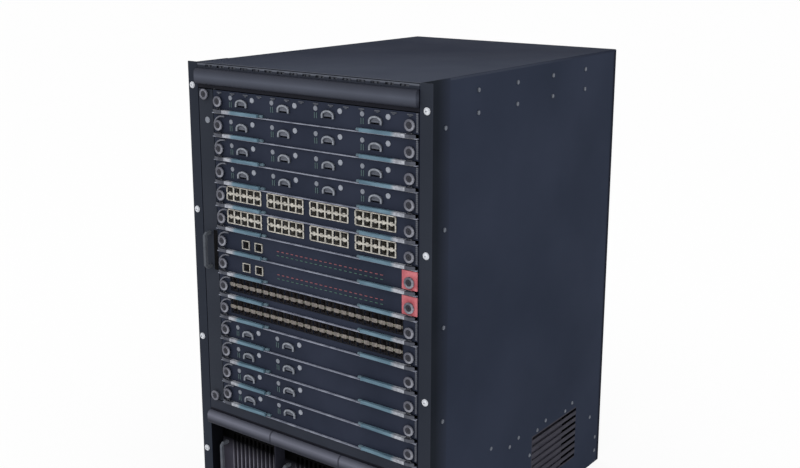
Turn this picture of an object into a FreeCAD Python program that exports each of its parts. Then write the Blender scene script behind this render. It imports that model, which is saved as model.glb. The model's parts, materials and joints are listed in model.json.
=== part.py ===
import FreeCAD, Part
import os
import re
import sys
from collections import namedtuple

import Sketcher

# Modular chassis switch for a 19-inch rack. Front faces -Y, +X is right, +Z is up.
# The origin lies on the floor, in the middle of the base.

DIMENSIONS = {
    # sheet metal body
    "body_width": 442.0,
    "body_depth": 600.0,
    "sheet": 1.6,
    "bend_radius": 2.4,
    "base_flange": 14.0,
    # levels from the floor up: power bay, lower band, sill, card slots, head
    "power_bay_height": 176.4,
    "lower_band_height": 24.0,
    "sill_height": 22.0,
    "card_pitch": 38.1,
    "head_height": 41.5,
    # bezels
    "upper_band_drop": 9.0,
    "upper_band_height": 26.0,
    "band_depth": 9.0,
    "band_rounding": 8.0,
    "bezel_plate": 2.0,
    "perforation_width": 16.0,
    "perforation_height": 3.6,
    "perforation_drop": 5.0,
    # rack ears
    "ear_width": 20.3,
    "ear_return": 70.0,
    "ear_sheet": 2.0,
    "ear_hole_radius": 3.4,
    "ear_hole_inset": 8.75,
    "ear_hole_drop_a": 38.1,
    "ear_hole_drop_b": 244.475,
    "ear_hole_drop_c": 466.725,
    "ear_hole_drop_d": 673.1,
    # card cage
    "fan_bay_width": 33.0,
    "wall_sheet": 1.2,
    "guide_depth": 4.0,
    "guide_thickness": 1.5,
    "guide_setback": 12.0,
    "guide_clearance": 0.4,
    "air_slot_height": 22.0,
    "air_slot_gap": 5.0,
    "air_slot_margin": 60.0,
    # cards
    "card_gap": 1.5,
    "card_depth": 440.0,
    "plate_thickness": 2.0,
    "board_level": 11.0,
    "board_thickness": 2.0,
    "connector_width": 180.0,
    "connector_height": 14.0,
    "connector_depth": 14.0,
    "ledge_depth": 4.0,
    "ledge_thickness": 1.2,
    "end_zone": 25.0,
    # captive screws
    "knob_radius": 6.5,
    "knob_height": 5.0,
    "knob_inset": 13.0,
    "knob_rise": 1.0,
    # ejector levers
    "lever_length": 88.0,
    "lever_height": 5.0,
    "lever_width": 4.4,
    "lever_tip": 3.0,
    "lever_shoulder": 0.5,
    "lever_hub": 3.6,
    "lever_claw": 8.5,
    "lever_clearance": 0.3,
    "pivot_standoff": 4.2,
    "lug_thickness": 1.2,
    # large optical sockets
    "optic_width": 18.8,
    "optic_height": 9.2,
    "optic_depth": 60.0,
    "optic_offset": 39.0,
    "collar_wall": 1.6,
    "collar_depth": 2.2,
    "cage_wall": 1.2,
    # small optical cages
    "cage_pitch": 14.9,
    "cage_opening_width": 12.2,
    "cage_opening_height": 9.0,
    "cage_row_pitch": 12.0,
    "cage_depth": 48.0,
    "cage_proud": 0.8,
    "strip_thickness": 1.0,
    # network jacks
    "jack_opening_width": 11.7,
    "jack_opening_height": 9.0,
    "jack_row_pitch": 12.8,
    "jack_depth": 22.0,
    # control cards
    "control_jack_width": 14.0,
    "control_jack_height": 12.5,
    "control_jack_pitch": 28.0,
    "end_block_width": 27.0,
    "end_block_depth": 2.5,
    # backplane
    "backplane_thickness": 4.0,
    "socket_depth": 8.0,
    "seat_gap": 0.3,
    # fan tray
    "tray_depth": 420.0,
    "tray_thickness": 26.0,
    "fan_centre_depth": 210.0,
    "rotor_radius": 108.0,
    "rotor_gap": 3.0,
    "rotor_hub_radius": 38.0,
    "rotor_width": 17.0,
    "rotor_clearance": 0.5,
    "blade_thickness": 1.6,
    "blade_inset": 0.5,
    "blade_root": 3.2,
    "blade_chord": 30.0,
    "motor_radius": 30.0,
    "strut_width": 12.0,
    "strut_thickness": 4.0,
    "strut_overlap": 2.0,
    "tray_knob_inset": 8.0,
    "tray_handle_height": 62.0,
    "tray_handle_reach": 16.0,
    "handle_bar": 5.0,
    # power modules
    "power_recess": 24.0,
    "power_module_depth": 430.0,
    "power_clearance": 0.8,
    "grille_slot_width": 5.2,
    "grille_slot_pitch": 9.6,
    "grille_slot_height": 112.0,
    "grille_slot_depth": 10.0,
    "grille_base": 40.0,
    "grille_gap": 15.0,
    "power_knob_level": 20.0,
    "power_handle_height": 96.0,
    "power_handle_reach": 18.0,
    "power_handle_inset": 12.0,
    # vents and rear
    "vent_slot_height": 6.0,
    "vent_slot_pitch": 13.0,
    "exhaust_width": 180.0,
    "exhaust_height": 10.0,
    "exhaust_pitch": 30.0,
    "rear_vent_width": 360.0,
    "rear_vent_height": 20.0,
    "power_vent_width": 160.0,
    "power_vent_setback": 100.0,
    "power_vent_base": 46.0,
    "inlet_width": 48.0,
    "inlet_height": 30.0,
    "inlet_proud": 4.0,
    "inlet_recess": 16.0,
    "inlet_wall": 4.0,
    "inlet_level": 60.0,
    "inlet_pin": 2.4,
    "inlet_pin_spread": 9.6,
    "inlet_pin_rise": 5.0,
    "rear_clearance": 4.0,
    # sheet screws
    "screw_radius": 3.6,
    "screw_height": 1.6,
    "ear_screw_setback": 58.0,
    "ear_screw_drop": 70.0,
    "ear_screw_pitch": 150.0,
    "edge_screw_setback": 147.0,
    "edge_screw_pitch": 112.0,
    "edge_screw_drop": 25.0,
    "edge_screw_row_gap": 34.0,
    # how far a cut starts outside what it cuts
    "overrun": 1.0,
}

# What each slot holds, from the top slot down.
CARD_KINDS = ["optic"] * 4 + ["cages"] * 2 + ["control"] * 2 + ["jacks"] * 2 + ["optic_pair"] * 4
PORT_GROUPS = 4
CAGE_COLUMNS = 5
JACK_COLUMNS = 24
FAN_NAMES = ["lower", "upper"]
BLADES = 5
KNOB_SIDES = 8
MOTOR_SIDES = 12
POWER_MODULES = 3
EXHAUST_SLOTS = 6
REAR_VENTS = 7
WALL_SLOTS = 7
POWER_VENT_SLOTS = 8
PERFORATIONS = 16
GRILLE_SLOTS = 10
EAR_SCREWS = 5
EDGE_SCREWS = 4

doc = FreeCAD.newDocument("chassis_switch")
dims = doc.addObject("Spreadsheet::Sheet", "dims")
for row, (name, size) in enumerate(DIMENSIONS.items(), start=1):
    dims.set(f"A{row}", name)
    dims.set(f"B{row}", str(size))
    dims.setAlias(f"B{row}", name)
doc.recompute()

# ---------------------------------------------------------------- shared places, as formulas of the sheet
FRONT = "(-body_depth / 2)"
BACK = "(body_depth / 2)"
INNER = "(body_width / 2 - sheet)"
SLOTS_BOTTOM = "(power_bay_height + lower_band_height + sill_height)"
SLOTS_TOP = f"({SLOTS_BOTTOM} + {len(CARD_KINDS)} * card_pitch)"
HEIGHT = f"({SLOTS_TOP} + head_height)"
FAN_BAY_RIGHT = f"(-{INNER} + fan_bay_width)"
CARD_LEFT = f"({FAN_BAY_RIGHT} + card_gap / 2)"
CARD_RIGHT = f"({INNER} - card_gap / 2)"
FIELD_LEFT = f"({CARD_LEFT} + end_zone)"
GROUP_PITCH = f"(({CARD_RIGHT} - {CARD_LEFT} - 2 * end_zone) / {PORT_GROUPS})"
CARD_MIDDLE = f"(({CARD_LEFT} + {CARD_RIGHT}) / 2)"
BOARD_TOP = "(board_level + board_thickness)"
BOARD_LEFT = f"({FAN_BAY_RIGHT} + wall_sheet + guide_clearance)"
BOARD_RIGHT = f"({INNER} - wall_sheet - guide_clearance)"
PLATE_BACK = f"({FRONT} + plate_thickness)"
SHELF_TOP = "(power_bay_height + sheet)"
SOCKET_FRONT = f"({FRONT} + card_depth + seat_gap)"
BACKPLANE_FRONT = f"({SOCKET_FRONT} + socket_depth)"
BAY_WIDTH = f"((2 * {INNER} - 2 * sheet - {POWER_MODULES - 1} * sheet) / {POWER_MODULES})"
LEVER_BOTTOM = "(card_gap / 2 + ledge_thickness + lever_clearance)"
LEVER_TOP = f"({LEVER_BOTTOM} + lever_height)"
FAN_MIDDLE = f"(-{INNER} + fan_bay_width / 2)"
TRAY_HEIGHT = f"({len(CARD_KINDS)} * card_pitch - card_gap)"

# ---------------------------------------------------------------- drawing helpers
WORD = re.compile(r"[a-z][a-z_0-9]*")
# the origin plane across each axis, and whether its normal runs along that axis or against it
ACROSS = {"X": ("YZ_Plane", 1), "Y": ("XZ_Plane", -1), "Z": ("XY_Plane", 1)}
Disc = namedtuple("Disc", "u v radius")


def bound(formula):
    """The formula with every dimension's name turned into the name of its cell."""
    return WORD.sub(lambda word: f"dims.{word.group()}" if word.group() in DIMENSIONS else word.group(), formula)


def bind(thing, prop, formula):
    thing.setExpression(prop, bound(formula))


def new_body(label):
    body = doc.addObject("PartDesign::Body", label)
    body.Label = label
    return body


def origin_part(body, role):
    return next(part for part in body.Origin.OriginFeatures if part.Role == role)


def box(u_low, u_high, v_low, v_high):
    """The four corners of a rectangle, as formulas."""
    return [(u_low, v_low), (u_high, v_low), (u_high, v_high), (u_low, v_high)]


def polygon(u, v, radius, sides):
    """Corners of a regular polygon that stands on a flat, as formulas."""
    angles = [(i + 0.5) * 360 / sides for i in range(sides)]
    return [(f"{u} + {radius} * cos({angle})", f"{v} + {radius} * sin({angle})") for angle in angles]


def draw(sketch, outline):
    """Adds a circle or a closed run of straight lines, each point fixed by its own formulas."""
    first = sketch.GeometryCount
    if isinstance(outline, Disc):
        sketch.addGeometry(Part.Circle(FreeCAD.Vector(first + 1, 1, 0), FreeCAD.Vector(0, 0, 1), 1))
        places = [(3, outline.u, outline.v, first)]
        radius = sketch.addConstraint(Sketcher.Constraint("Radius", first, 1.0))
        bind(sketch, f"Constraints[{radius}]", outline.radius)
    else:
        count = len(outline)
        corners = [FreeCAD.Vector(i * i + first, i + first, 0) for i in range(count)]
        lines = [Part.LineSegment(corners[i], corners[(i + 1) % count]) for i in range(count)]
        sketch.addGeometry(lines)
        for i in range(count):
            after = first + (i + 1) % count
            sketch.addConstraint(Sketcher.Constraint("Coincident", first + i, 2, after, 1))
        places = [(1, u, v, first + i) for i, (u, v) in enumerate(outline)]
    for point, u, v, edge in places:
        across = sketch.addConstraint(Sketcher.Constraint("DistanceX", -1, 1, edge, point, 1.0))
        bind(sketch, f"Constraints[{across}]", u)
        upward = sketch.addConstraint(Sketcher.Constraint("DistanceY", -1, 1, edge, point, 1.0))
        bind(sketch, f"Constraints[{upward}]", v)


def sketch_at(body, name, axis, level, outlines):
    """A sketch across the axis at that level, holding the outlines."""
    role, sense = ACROSS[axis]
    sketch = body.newObject("Sketcher::SketchObject", f"{name}_sketch")
    sketch.AttachmentSupport = [(origin_part(body, role), "")]
    sketch.MapMode = "FlatFace"
    bind(sketch, "AttachmentOffset.Base.z", level if sense > 0 else f"-({level})")
    for outline in outlines:
        draw(sketch, outline)
    return sketch


def pad(body, name, axis, low, high, *outlines):
    """Material between two levels of an axis."""
    feature = body.newObject("PartDesign::Pad", name)
    feature.Profile = sketch_at(body, name, axis, low, outlines)
    feature.Reversed = ACROSS[axis][1] < 0
    bind(feature, "Length", f"{high} - ({low})")
    body.Tip = feature
    return feature


def pocket(body, name, axis, low, high, *outlines):
    """A cut between two levels of an axis."""
    before = body.Tip
    feature = body.newObject("PartDesign::Pocket", name)
    level = high if ACROSS[axis][1] > 0 else low
    feature.Profile = sketch_at(body, name, axis, level, outlines)
    bind(feature, "Length", f"{high} - ({low})")
    body.Tip = feature
    doc.recompute([feature.Profile[0], before, feature])
    if not feature.Shape.Volume < before.Shape.Volume:
        sys.exit(f"{body.Label}: {name} cuts nothing")
    return feature


def repeat(body, name, feature, axis, length, count):
    """Copies of a feature spread evenly over a length of an axis."""
    pattern = body.newObject("PartDesign::LinearPattern", name)
    pattern.Originals = [feature]
    pattern.Direction = (origin_part(body, f"{axis}_Axis"), [""])
    bind(pattern, "Length", length)
    pattern.Occurrences = count
    body.Tip = pattern
    return pattern


def edges_where(feature, test):
    """Names of the feature's edges that pass the test."""
    doc.recompute()
    return [f"Edge{i}" for i, edge in enumerate(feature.Shape.Edges, start=1) if test(edge)]


def round_edges(body, name, radius, test):
    before = body.Tip
    names = edges_where(before, test)
    fillet = body.newObject("PartDesign::Fillet", name)
    fillet.Base = (before, names)
    bind(fillet, "Radius", radius)
    body.Tip = fillet
    return fillet


def place(body, x="0", y="0", z="0"):
    for axis, formula in zip("xyz", (x, y, z)):
        bind(body, f"Placement.Base.{axis}", formula)


def group(label, *members):
    """Solids that are fixed together and go by one name."""
    joined = doc.addObject("Part::Compound", f"{label}_group")
    joined.Label = label
    joined.Links = list(members)
    return joined


# ---------------------------------------------------------------- sheet metal
def outer_cover():
    """One sheet folded over the top and both sides, with the exhaust and power vents cut in it."""
    body = new_body("outer_cover")
    half = "body_width / 2"
    wrap = pad(body, "wrap", "Y", FRONT, BACK, [
        (f"-{half}", "0"), (f"-{INNER}", "0"), (f"-{INNER}", f"{HEIGHT} - sheet"),
        (INNER, f"{HEIGHT} - sheet"), (INNER, "0"), (half, "0"), (half, HEIGHT), (f"-{half}", HEIGHT),
    ])
    doc.recompute()
    limits = wrap.Shape.BoundBox
    round_edges(body, "fold", "bend_radius", lambda edge: is_top_corner(edge.BoundBox, limits))
    vent_low = "power_vent_base"
    vent_back = f"{BACK} - power_vent_setback"
    slot = pocket(body, "power_vent", "X", f"-{half} - overrun", f"{half} + overrun",
                  box(f"{vent_back} - power_vent_width", vent_back, vent_low, f"{vent_low} + vent_slot_height"))
    repeat(body, "power_vents", slot, "Z", f"{POWER_VENT_SLOTS - 1} * vent_slot_pitch", POWER_VENT_SLOTS)
    run = f"{EXHAUST_SLOTS - 1} * exhaust_pitch"
    for name in FAN_NAMES:
        low = f"{fan_level(name)} - ({run} + exhaust_height) / 2"
        middle = f"({FRONT} + fan_centre_depth)"
        slot = pocket(body, f"exhaust_{name}", "X", f"-{half} - overrun", f"-{INNER} + overrun",
                      box(f"{middle} - exhaust_width / 2", f"{middle} + exhaust_width / 2",
                          low, f"{low} + exhaust_height"))
        repeat(body, f"exhaust_{name}_slots", slot, "Z", run, EXHAUST_SLOTS)
    return body


def is_top_corner(edge, limits):
    """True for the two long outer corners of the wrap."""
    outermost = abs(abs(edge.XMin) - limits.XMax) < 1e-6 and abs(edge.ZMin - limits.ZMax) < 1e-6
    return outermost and edge.XLength < 1e-6 and edge.YLength > limits.YLength / 2


def fan_level(name):
    """Height of a fan's centre above the floor."""
    share = 1 if name == "lower" else 3
    return f"({SLOTS_BOTTOM} + card_gap / 2 + {TRAY_HEIGHT} * {share} / 4)"


def base_tray():
    """Folded floor: a sheet with an upturned flange along each side."""
    body = new_body("base_tray")
    inside = f"({INNER} - sheet)"
    pad(body, "channel", "Y", FRONT, f"{BACK} - sheet", [
        (f"-{INNER}", "0"), (INNER, "0"), (INNER, "base_flange"), (inside, "base_flange"),
        (inside, "sheet"), (f"-{inside}", "sheet"), (f"-{inside}", "base_flange"), (f"-{INNER}", "base_flange"),
    ])
    return body


def rear_panel():
    """Back sheet with air slots over the card bay and one mains inlet behind each power module."""
    body = new_body("rear_panel")
    face = f"({BACK} - sheet)"
    pad(body, "panel", "Y", face, BACK, box(f"-{INNER}", INNER, "0", f"{HEIGHT} - sheet"))
    low = f"({SLOTS_BOTTOM} + card_pitch / 2)"
    slot = pocket(body, "vent", "Y", f"{face} - overrun", f"{BACK} + overrun",
                  box("-rear_vent_width / 2", "rear_vent_width / 2", low, f"{low} + rear_vent_height"))
    repeat(body, "vents", slot, "Z", f"{2 * (REAR_VENTS - 1)} * card_pitch", REAR_VENTS)
    for i in range(POWER_MODULES):
        middle = bay_middle(i)
        housing = box(f"{middle} - inlet_width / 2", f"{middle} + inlet_width / 2",
                      "inlet_level - inlet_height / 2", "inlet_level + inlet_height / 2")
        recess = box(f"{middle} - inlet_width / 2 + inlet_wall", f"{middle} + inlet_width / 2 - inlet_wall",
                     "inlet_level - inlet_height / 2 + inlet_wall", "inlet_level + inlet_height / 2 - inlet_wall")
        pad(body, f"inlet_{i + 1}", "Y", f"{BACK} - inlet_recess - inlet_wall", f"{BACK} + inlet_proud", housing)
        pocket(body, f"inlet_{i + 1}_recess", "Y", f"{BACK} - inlet_recess", f"{BACK} + inlet_proud", recess)
        pins = [box(f"{middle} + ({step}) * inlet_pin_spread - inlet_pin / 2",
                    f"{middle} + ({step}) * inlet_pin_spread + inlet_pin / 2",
                    f"inlet_level - inlet_pin + ({rise}) * inlet_pin_rise",
                    f"inlet_level + inlet_pin + ({rise}) * inlet_pin_rise")
                for step, rise in ((-1, -1), (0, 1), (1, -1))]
        pad(body, f"inlet_{i + 1}_pins", "Y", f"{BACK} - inlet_recess", BACK, *pins)
    return body


def bay_middle(index):
    """Middle of a power bay across the width."""
    return f"(-{INNER} + sheet + {BAY_WIDTH} / 2 + {index} * ({BAY_WIDTH} + sheet))"


def power_shelf():
    """Shelf over the power bay, and the dividers that stand under it between the modules."""
    back = f"{BACK} - sheet - inlet_recess - inlet_wall - rear_clearance"
    shelf = new_body("shelf")
    pad(shelf, "sheet", "Y", f"{FRONT} + bezel_plate", back, box(f"-{INNER}", INNER, "power_bay_height", SHELF_TOP))
    dividers = []
    for i in range(POWER_MODULES - 1):
        edge = f"({bay_middle(i)} + {BAY_WIDTH} / 2)"
        divider = new_body(f"divider_{i + 1}")
        pad(divider, "sheet", "Y", f"{FRONT} + bezel_plate", back,
            box(edge, f"{edge} + sheet", "sheet", "power_bay_height"))
        dividers.append(divider)
    return group("power_shelf", shelf, *dividers)


def guide_wall(side, sense):
    """Card cage wall: a sheet with air slots, and the guides that carry each board's edge."""
    outer = FAN_BAY_RIGHT if side == "left" else INNER
    inner = f"({outer} + ({sense}) * wall_sheet)"
    near, far = f"{PLATE_BACK} + seat_gap", BACKPLANE_FRONT
    level = f"({SLOTS_BOTTOM} + board_level - guide_clearance)"
    low, high = ordered(outer, inner, sense)
    wall = new_body(f"wall_{side}")
    pad(wall, "sheet", "X", low, high, box(near, far, SHELF_TOP, f"{HEIGHT} - sheet"))
    slot_low = f"({level} + air_slot_gap)"
    slot = pocket(wall, "air_slot", "X", f"{low} - overrun", f"{high} + overrun",
                  box(f"{near} + air_slot_margin", f"{far} - air_slot_margin",
                      slot_low, f"{slot_low} + air_slot_height"))
    repeat(wall, "air_slots", slot, "Z", f"{2 * (WALL_SLOTS - 1)} * card_pitch", WALL_SLOTS)
    guides = []
    for number in range(1, len(CARD_KINDS) + 1):
        guide = new_body(f"guide_{side}_{number:02d}")
        low, high = ordered("0", f"({sense}) * guide_depth", sense)
        pad(guide, "bar", "X", low, high,
            box(f"{near} + guide_setback", f"{far} - socket_depth - guide_setback", "-guide_thickness", "0"))
        place(guide, x=inner, z=f"{level} + {len(CARD_KINDS) - number} * card_pitch")
        guides.append(guide)
    return group(f"guide_wall_{side}", wall, *guides)


def ordered(first, second, sense):
    return (first, second) if sense > 0 else (second, first)


def rack_ear(side, sense):
    """L bracket: a front flange with the rack holes, and a return screwed to the body's side."""
    body = new_body(f"rack_ear_{side}")
    root = f"(({sense}) * body_width / 2)"
    corners = [("0", "0"), ("ear_width", "0"), ("ear_width", "ear_sheet"), ("ear_sheet", "ear_sheet"),
               ("ear_sheet", "ear_return"), ("0", "ear_return")]
    pad(body, "bracket", "Z", "0", HEIGHT,
        [(f"{root} + ({sense}) * {u}", f"{FRONT} + {v}") for u, v in corners])
    holes = [Disc(f"({sense}) * (body_width / 2 + ear_width - ear_hole_inset)",
                  f"{HEIGHT} - ear_hole_drop_{letter}", "ear_hole_radius") for letter in "abcd"]
    pocket(body, "rack_holes", "Y", f"{FRONT} - overrun", f"{FRONT} + ear_sheet + overrun", *holes)
    return body


# ---------------------------------------------------------------- bezels
def band(body, low, high):
    """A full-width strip that bulges forward, rounded along both edges."""
    feature = pad(body, "band", "X", f"-{INNER}", INNER,
                  box(f"{FRONT} - band_depth", f"{FRONT}", low, high))
    doc.recompute()
    face = feature.Shape.BoundBox.YMin
    width = feature.Shape.BoundBox.XLength
    round_edges(body, "rounding", "band_rounding",
                lambda edge: abs(edge.BoundBox.YMax - face) < 1e-6 and abs(edge.BoundBox.XLength - width) < 1e-6)


def upper_bezel():
    """Header over the cards: the rounded band and the perforated strip above it."""
    body = new_body("upper_bezel")
    pad(body, "plate", "X", f"-{INNER}", INNER,
        box(FRONT, f"{FRONT} + bezel_plate", f"{SLOTS_TOP} + card_gap / 2", f"{HEIGHT} - sheet"))
    band(body, f"{HEIGHT} - upper_band_drop - upper_band_height", f"{HEIGHT} - upper_band_drop")
    pitch = f"(2 * {INNER} / ({PERFORATIONS} + 1))"
    first = f"(-{INNER} + {pitch})"
    hole = pocket(body, "perforation", "Y", f"{FRONT} - overrun", f"{FRONT} + bezel_plate + overrun",
                  box(f"{first} - perforation_width / 2", f"{first} + perforation_width / 2",
                      f"{HEIGHT} - perforation_drop - perforation_height / 2",
                      f"{HEIGHT} - perforation_drop + perforation_height / 2"))
    repeat(body, "perforations", hole, "X", f"{PERFORATIONS - 1} * {pitch}", PERFORATIONS)
    return body


def lower_bezel():
    """Sill under the cards, with the rounded band along its foot."""
    body = new_body("lower_bezel")
    pad(body, "plate", "X", f"-{INNER}", INNER,
        box(FRONT, f"{FRONT} + bezel_plate", "power_bay_height", f"{SLOTS_BOTTOM} - card_gap / 2"))
    band(body, "power_bay_height", "power_bay_height + lower_band_height")
    return body


# ---------------------------------------------------------------- backplane
def backplane():
    """Board across the back of the card cage with one socket for each card."""
    board = new_body("backplane_board")
    back = f"({BACKPLANE_FRONT} + backplane_thickness)"
    pad(board, "board", "Y", BACKPLANE_FRONT, back, box(FAN_BAY_RIGHT, f"{INNER} - wall_sheet", SHELF_TOP, SLOTS_TOP))
    sockets = []
    for number in range(1, len(CARD_KINDS) + 1):
        socket = new_body(f"socket_{number:02d}")
        pad(socket, "housing", "Y", SOCKET_FRONT, BACKPLANE_FRONT,
            box("-connector_width / 2", "connector_width / 2", BOARD_TOP, f"{BOARD_TOP} + connector_height"))
        place(socket, x=CARD_MIDDLE, z=slot_floor(number))
        sockets.append(socket)
    return group("backplane", board, *sockets)


def slot_floor(number):
    """Level of a slot's foot; the first slot is the uppermost."""
    return f"{SLOTS_BOTTOM} + {len(CARD_KINDS) - number} * card_pitch"


# ---------------------------------------------------------------- cards
def knobs(body, *places):
    """Heads of captive screws, with flats for the fingers."""
    heads = [polygon(u, v, "knob_radius", KNOB_SIDES) for u, v in places]
    pad(body, "knobs", "Y", f"{FRONT} - knob_height", FRONT, *heads)


def group_left(index):
    return f"({FIELD_LEFT} + {index} * {GROUP_PITCH})"


def optic_sockets(body, groups):
    """Large optical sockets: a long cage on the board and a raised collar round its mouth."""
    low = f"({BOARD_TOP} + cage_wall)"
    high = f"({low} + optic_height)"
    cages, mouths, collars = [], [], []
    for i in range(groups):
        middle = f"({group_left(i)} + optic_offset)"
        left, right = f"({middle} - optic_width / 2)", f"({middle} + optic_width / 2)"
        cages.append(box(f"{left} - cage_wall", f"{right} + cage_wall", BOARD_TOP, f"{high} + cage_wall"))
        mouths.append(box(left, right, low, high))
        collars.append([
            (f"{left} - collar_wall", low), (f"{right} + collar_wall", low),
            (f"{right} + collar_wall", high), (right, f"{high} + collar_wall"),
            (left, f"{high} + collar_wall"), (f"{left} - collar_wall", high),
        ])
    pad(body, "collars", "Y", f"{FRONT} - collar_depth", FRONT, *collars)
    pad(body, "cage_boxes", "Y", PLATE_BACK, f"{PLATE_BACK} + optic_depth + cage_wall", *cages)
    pocket(body, "mouths", "Y", f"{FRONT} - collar_depth", f"{PLATE_BACK} + optic_depth", *mouths)
    return []


def row_strip(body, left, right, low, high):
    """Metal strip that parts the upper row of ports from the lower, seated on the walls between the mouths."""
    strip = new_body(f"{body.Label}_strip")
    face = f"({FRONT} - cage_proud)"
    pad(strip, "strip", "Y", f"{face} - strip_thickness", face, box(left, right, low, high))
    return strip


def cage_block(body, left, index):
    """One group of small optical cages: a block with a tall mouth for each pair, and its strip."""
    side = "((cage_pitch - cage_opening_width) / 2)"
    margin = "((cage_row_pitch - cage_opening_height) / 2)"
    top = f"({BOARD_TOP} + 2 * cage_row_pitch)"
    right = f"({left} + {CAGE_COLUMNS} * cage_pitch)"
    pad(body, f"cages_{index}", "Y", f"{FRONT} - cage_proud", f"{PLATE_BACK} + cage_depth", box(left, right, BOARD_TOP, top))
    cut = pocket(body, f"mouths_{index}", "Y", f"{FRONT} - cage_proud", f"{PLATE_BACK} + cage_depth - cage_wall",
                 box(f"{left} + {side}", f"{left} + {side} + cage_opening_width",
                     f"{BOARD_TOP} + {margin}", f"{top} - {margin}"))
    repeat(body, f"mouth_columns_{index}", cut, "X", f"{CAGE_COLUMNS - 1} * cage_pitch", CAGE_COLUMNS)
    middle = f"({BOARD_TOP} + cage_row_pitch)"
    return row_strip(body, left, right, f"{middle} - {margin}", f"{middle} + {margin}")


def cage_rows(body):
    """Two rows of small optical cages in four groups."""
    return [cage_block(body, group_left(i), i + 1) for i in range(PORT_GROUPS)]


def jack_rows(body):
    """Two rows of network jacks in one long housing."""
    left = FIELD_LEFT
    right = f"({FIELD_LEFT} + {PORT_GROUPS} * {GROUP_PITCH} - cage_wall)"
    pitch = f"(({right} - {left}) / {JACK_COLUMNS})"
    low = f"({BOARD_TOP} + cage_wall)"
    high = f"({low} + jack_row_pitch + jack_opening_height)"
    pad(body, "housing", "Y", f"{FRONT} - cage_proud", f"{PLATE_BACK} + jack_depth",
        box(left, right, BOARD_TOP, f"{high} + cage_wall"))
    cut = pocket(body, "mouths", "Y", f"{FRONT} - cage_proud", f"{PLATE_BACK} + jack_depth - cage_wall",
                 box(f"{left} + ({pitch} - jack_opening_width) / 2", f"{left} + ({pitch} + jack_opening_width) / 2",
                     low, high))
    repeat(body, "mouth_columns", cut, "X", f"{JACK_COLUMNS - 1} * {pitch}", JACK_COLUMNS)
    return [row_strip(body, left, right, f"{low} + jack_opening_height", f"{low} + jack_row_pitch")]


def control_face(body):
    """Two management jacks at the left and the raised end block at the right."""
    low = BOARD_TOP
    houses, mouths = [], []
    for i in range(2):
        middle = f"({FIELD_LEFT} + optic_offset + {i} * control_jack_pitch)"
        left, right = f"({middle} - control_jack_width / 2)", f"({middle} + control_jack_width / 2)"
        houses.append(box(f"{left} - cage_wall", f"{right} + cage_wall", low,
                          f"{low} + control_jack_height + 2 * cage_wall"))
        mouths.append(box(left, right, f"{low} + cage_wall", f"{low} + cage_wall + control_jack_height"))
    pad(body, "jack_houses", "Y", f"{FRONT} - cage_proud", f"{PLATE_BACK} + jack_depth", *houses)
    pocket(body, "mouths", "Y", f"{FRONT} - cage_proud", f"{PLATE_BACK} + jack_depth - cage_wall", *mouths)
    pad(body, "end_block", "Y", f"{FRONT} - end_block_depth", FRONT,
        box(f"{CARD_RIGHT} - end_block_width", CARD_RIGHT,
            f"{LEVER_TOP} + lever_clearance + lug_thickness", "card_pitch - card_gap / 2"))
    return []


FACES = {
    "optic": lambda body: optic_sockets(body, PORT_GROUPS),
    "optic_pair": lambda body: optic_sockets(body, PORT_GROUPS // 2),
    "cages": cage_rows,
    "jacks": jack_rows,
    "control": control_face,
}


def pivot_x(side):
    return f"({CARD_LEFT} + knob_inset)" if side == "left" else f"({CARD_RIGHT} - knob_inset)"


def card(number, kind):
    """Plug-in card: face with ledge, ports, captive screws and lever lugs, and the board with its connector."""
    body = new_body(f"card_{number:02d}_face")
    pad(body, "plate", "Y", FRONT, PLATE_BACK, box(CARD_LEFT, CARD_RIGHT, "card_gap / 2", "card_pitch - card_gap / 2"))
    pad(body, "ledge", "Y", f"{FRONT} - ledge_depth", FRONT,
        box(CARD_LEFT, CARD_RIGHT, "card_gap / 2", "card_gap / 2 + ledge_thickness"))
    members = [body] + FACES[kind](body)
    lugs, notches = [], []
    for side, sense in (("left", 1), ("right", -1)):
        pivot = pivot_x(side)
        lugs.append(box(f"{pivot} - lever_hub", f"{pivot} + lever_hub",
                        f"{LEVER_TOP} + lever_clearance", f"{LEVER_TOP} + lever_clearance + lug_thickness"))
        outer = f"({pivot} - ({sense}) * (lever_claw + lever_width))"
        inner = f"({pivot} + ({sense}) * (lever_hub + 2 * lever_clearance))"
        low, high = ordered(outer, inner, sense)
        notches.append(box(low, high, f"{LEVER_BOTTOM} - lever_clearance", f"{LEVER_TOP} + lever_clearance"))
    pad(body, "lugs", "Y", f"{FRONT} - pivot_standoff - lever_hub", FRONT, *lugs)
    pocket(body, "claw_notches", "Y", FRONT, PLATE_BACK, *notches)
    knobs(body, *[(pivot_x(side), "card_pitch / 2 + knob_rise") for side in ("left", "right")])
    board = new_body(f"card_{number:02d}_board")
    pad(board, "board", "Z", "board_level", BOARD_TOP,
        box(BOARD_LEFT, BOARD_RIGHT, PLATE_BACK, f"{FRONT} + card_depth - connector_depth / 2"))
    plug = new_body(f"card_{number:02d}_plug")
    pad(plug, "housing", "Y", f"{FRONT} + card_depth - connector_depth", f"{FRONT} + card_depth",
        box(f"{CARD_MIDDLE} - connector_width / 2", f"{CARD_MIDDLE} + connector_width / 2",
            BOARD_TOP, f"{BOARD_TOP} + connector_height"))
    members += [board, plug]
    for member in members:
        place(member, z=slot_floor(number))
    return group(f"card_{number:02d}", *members)


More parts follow.
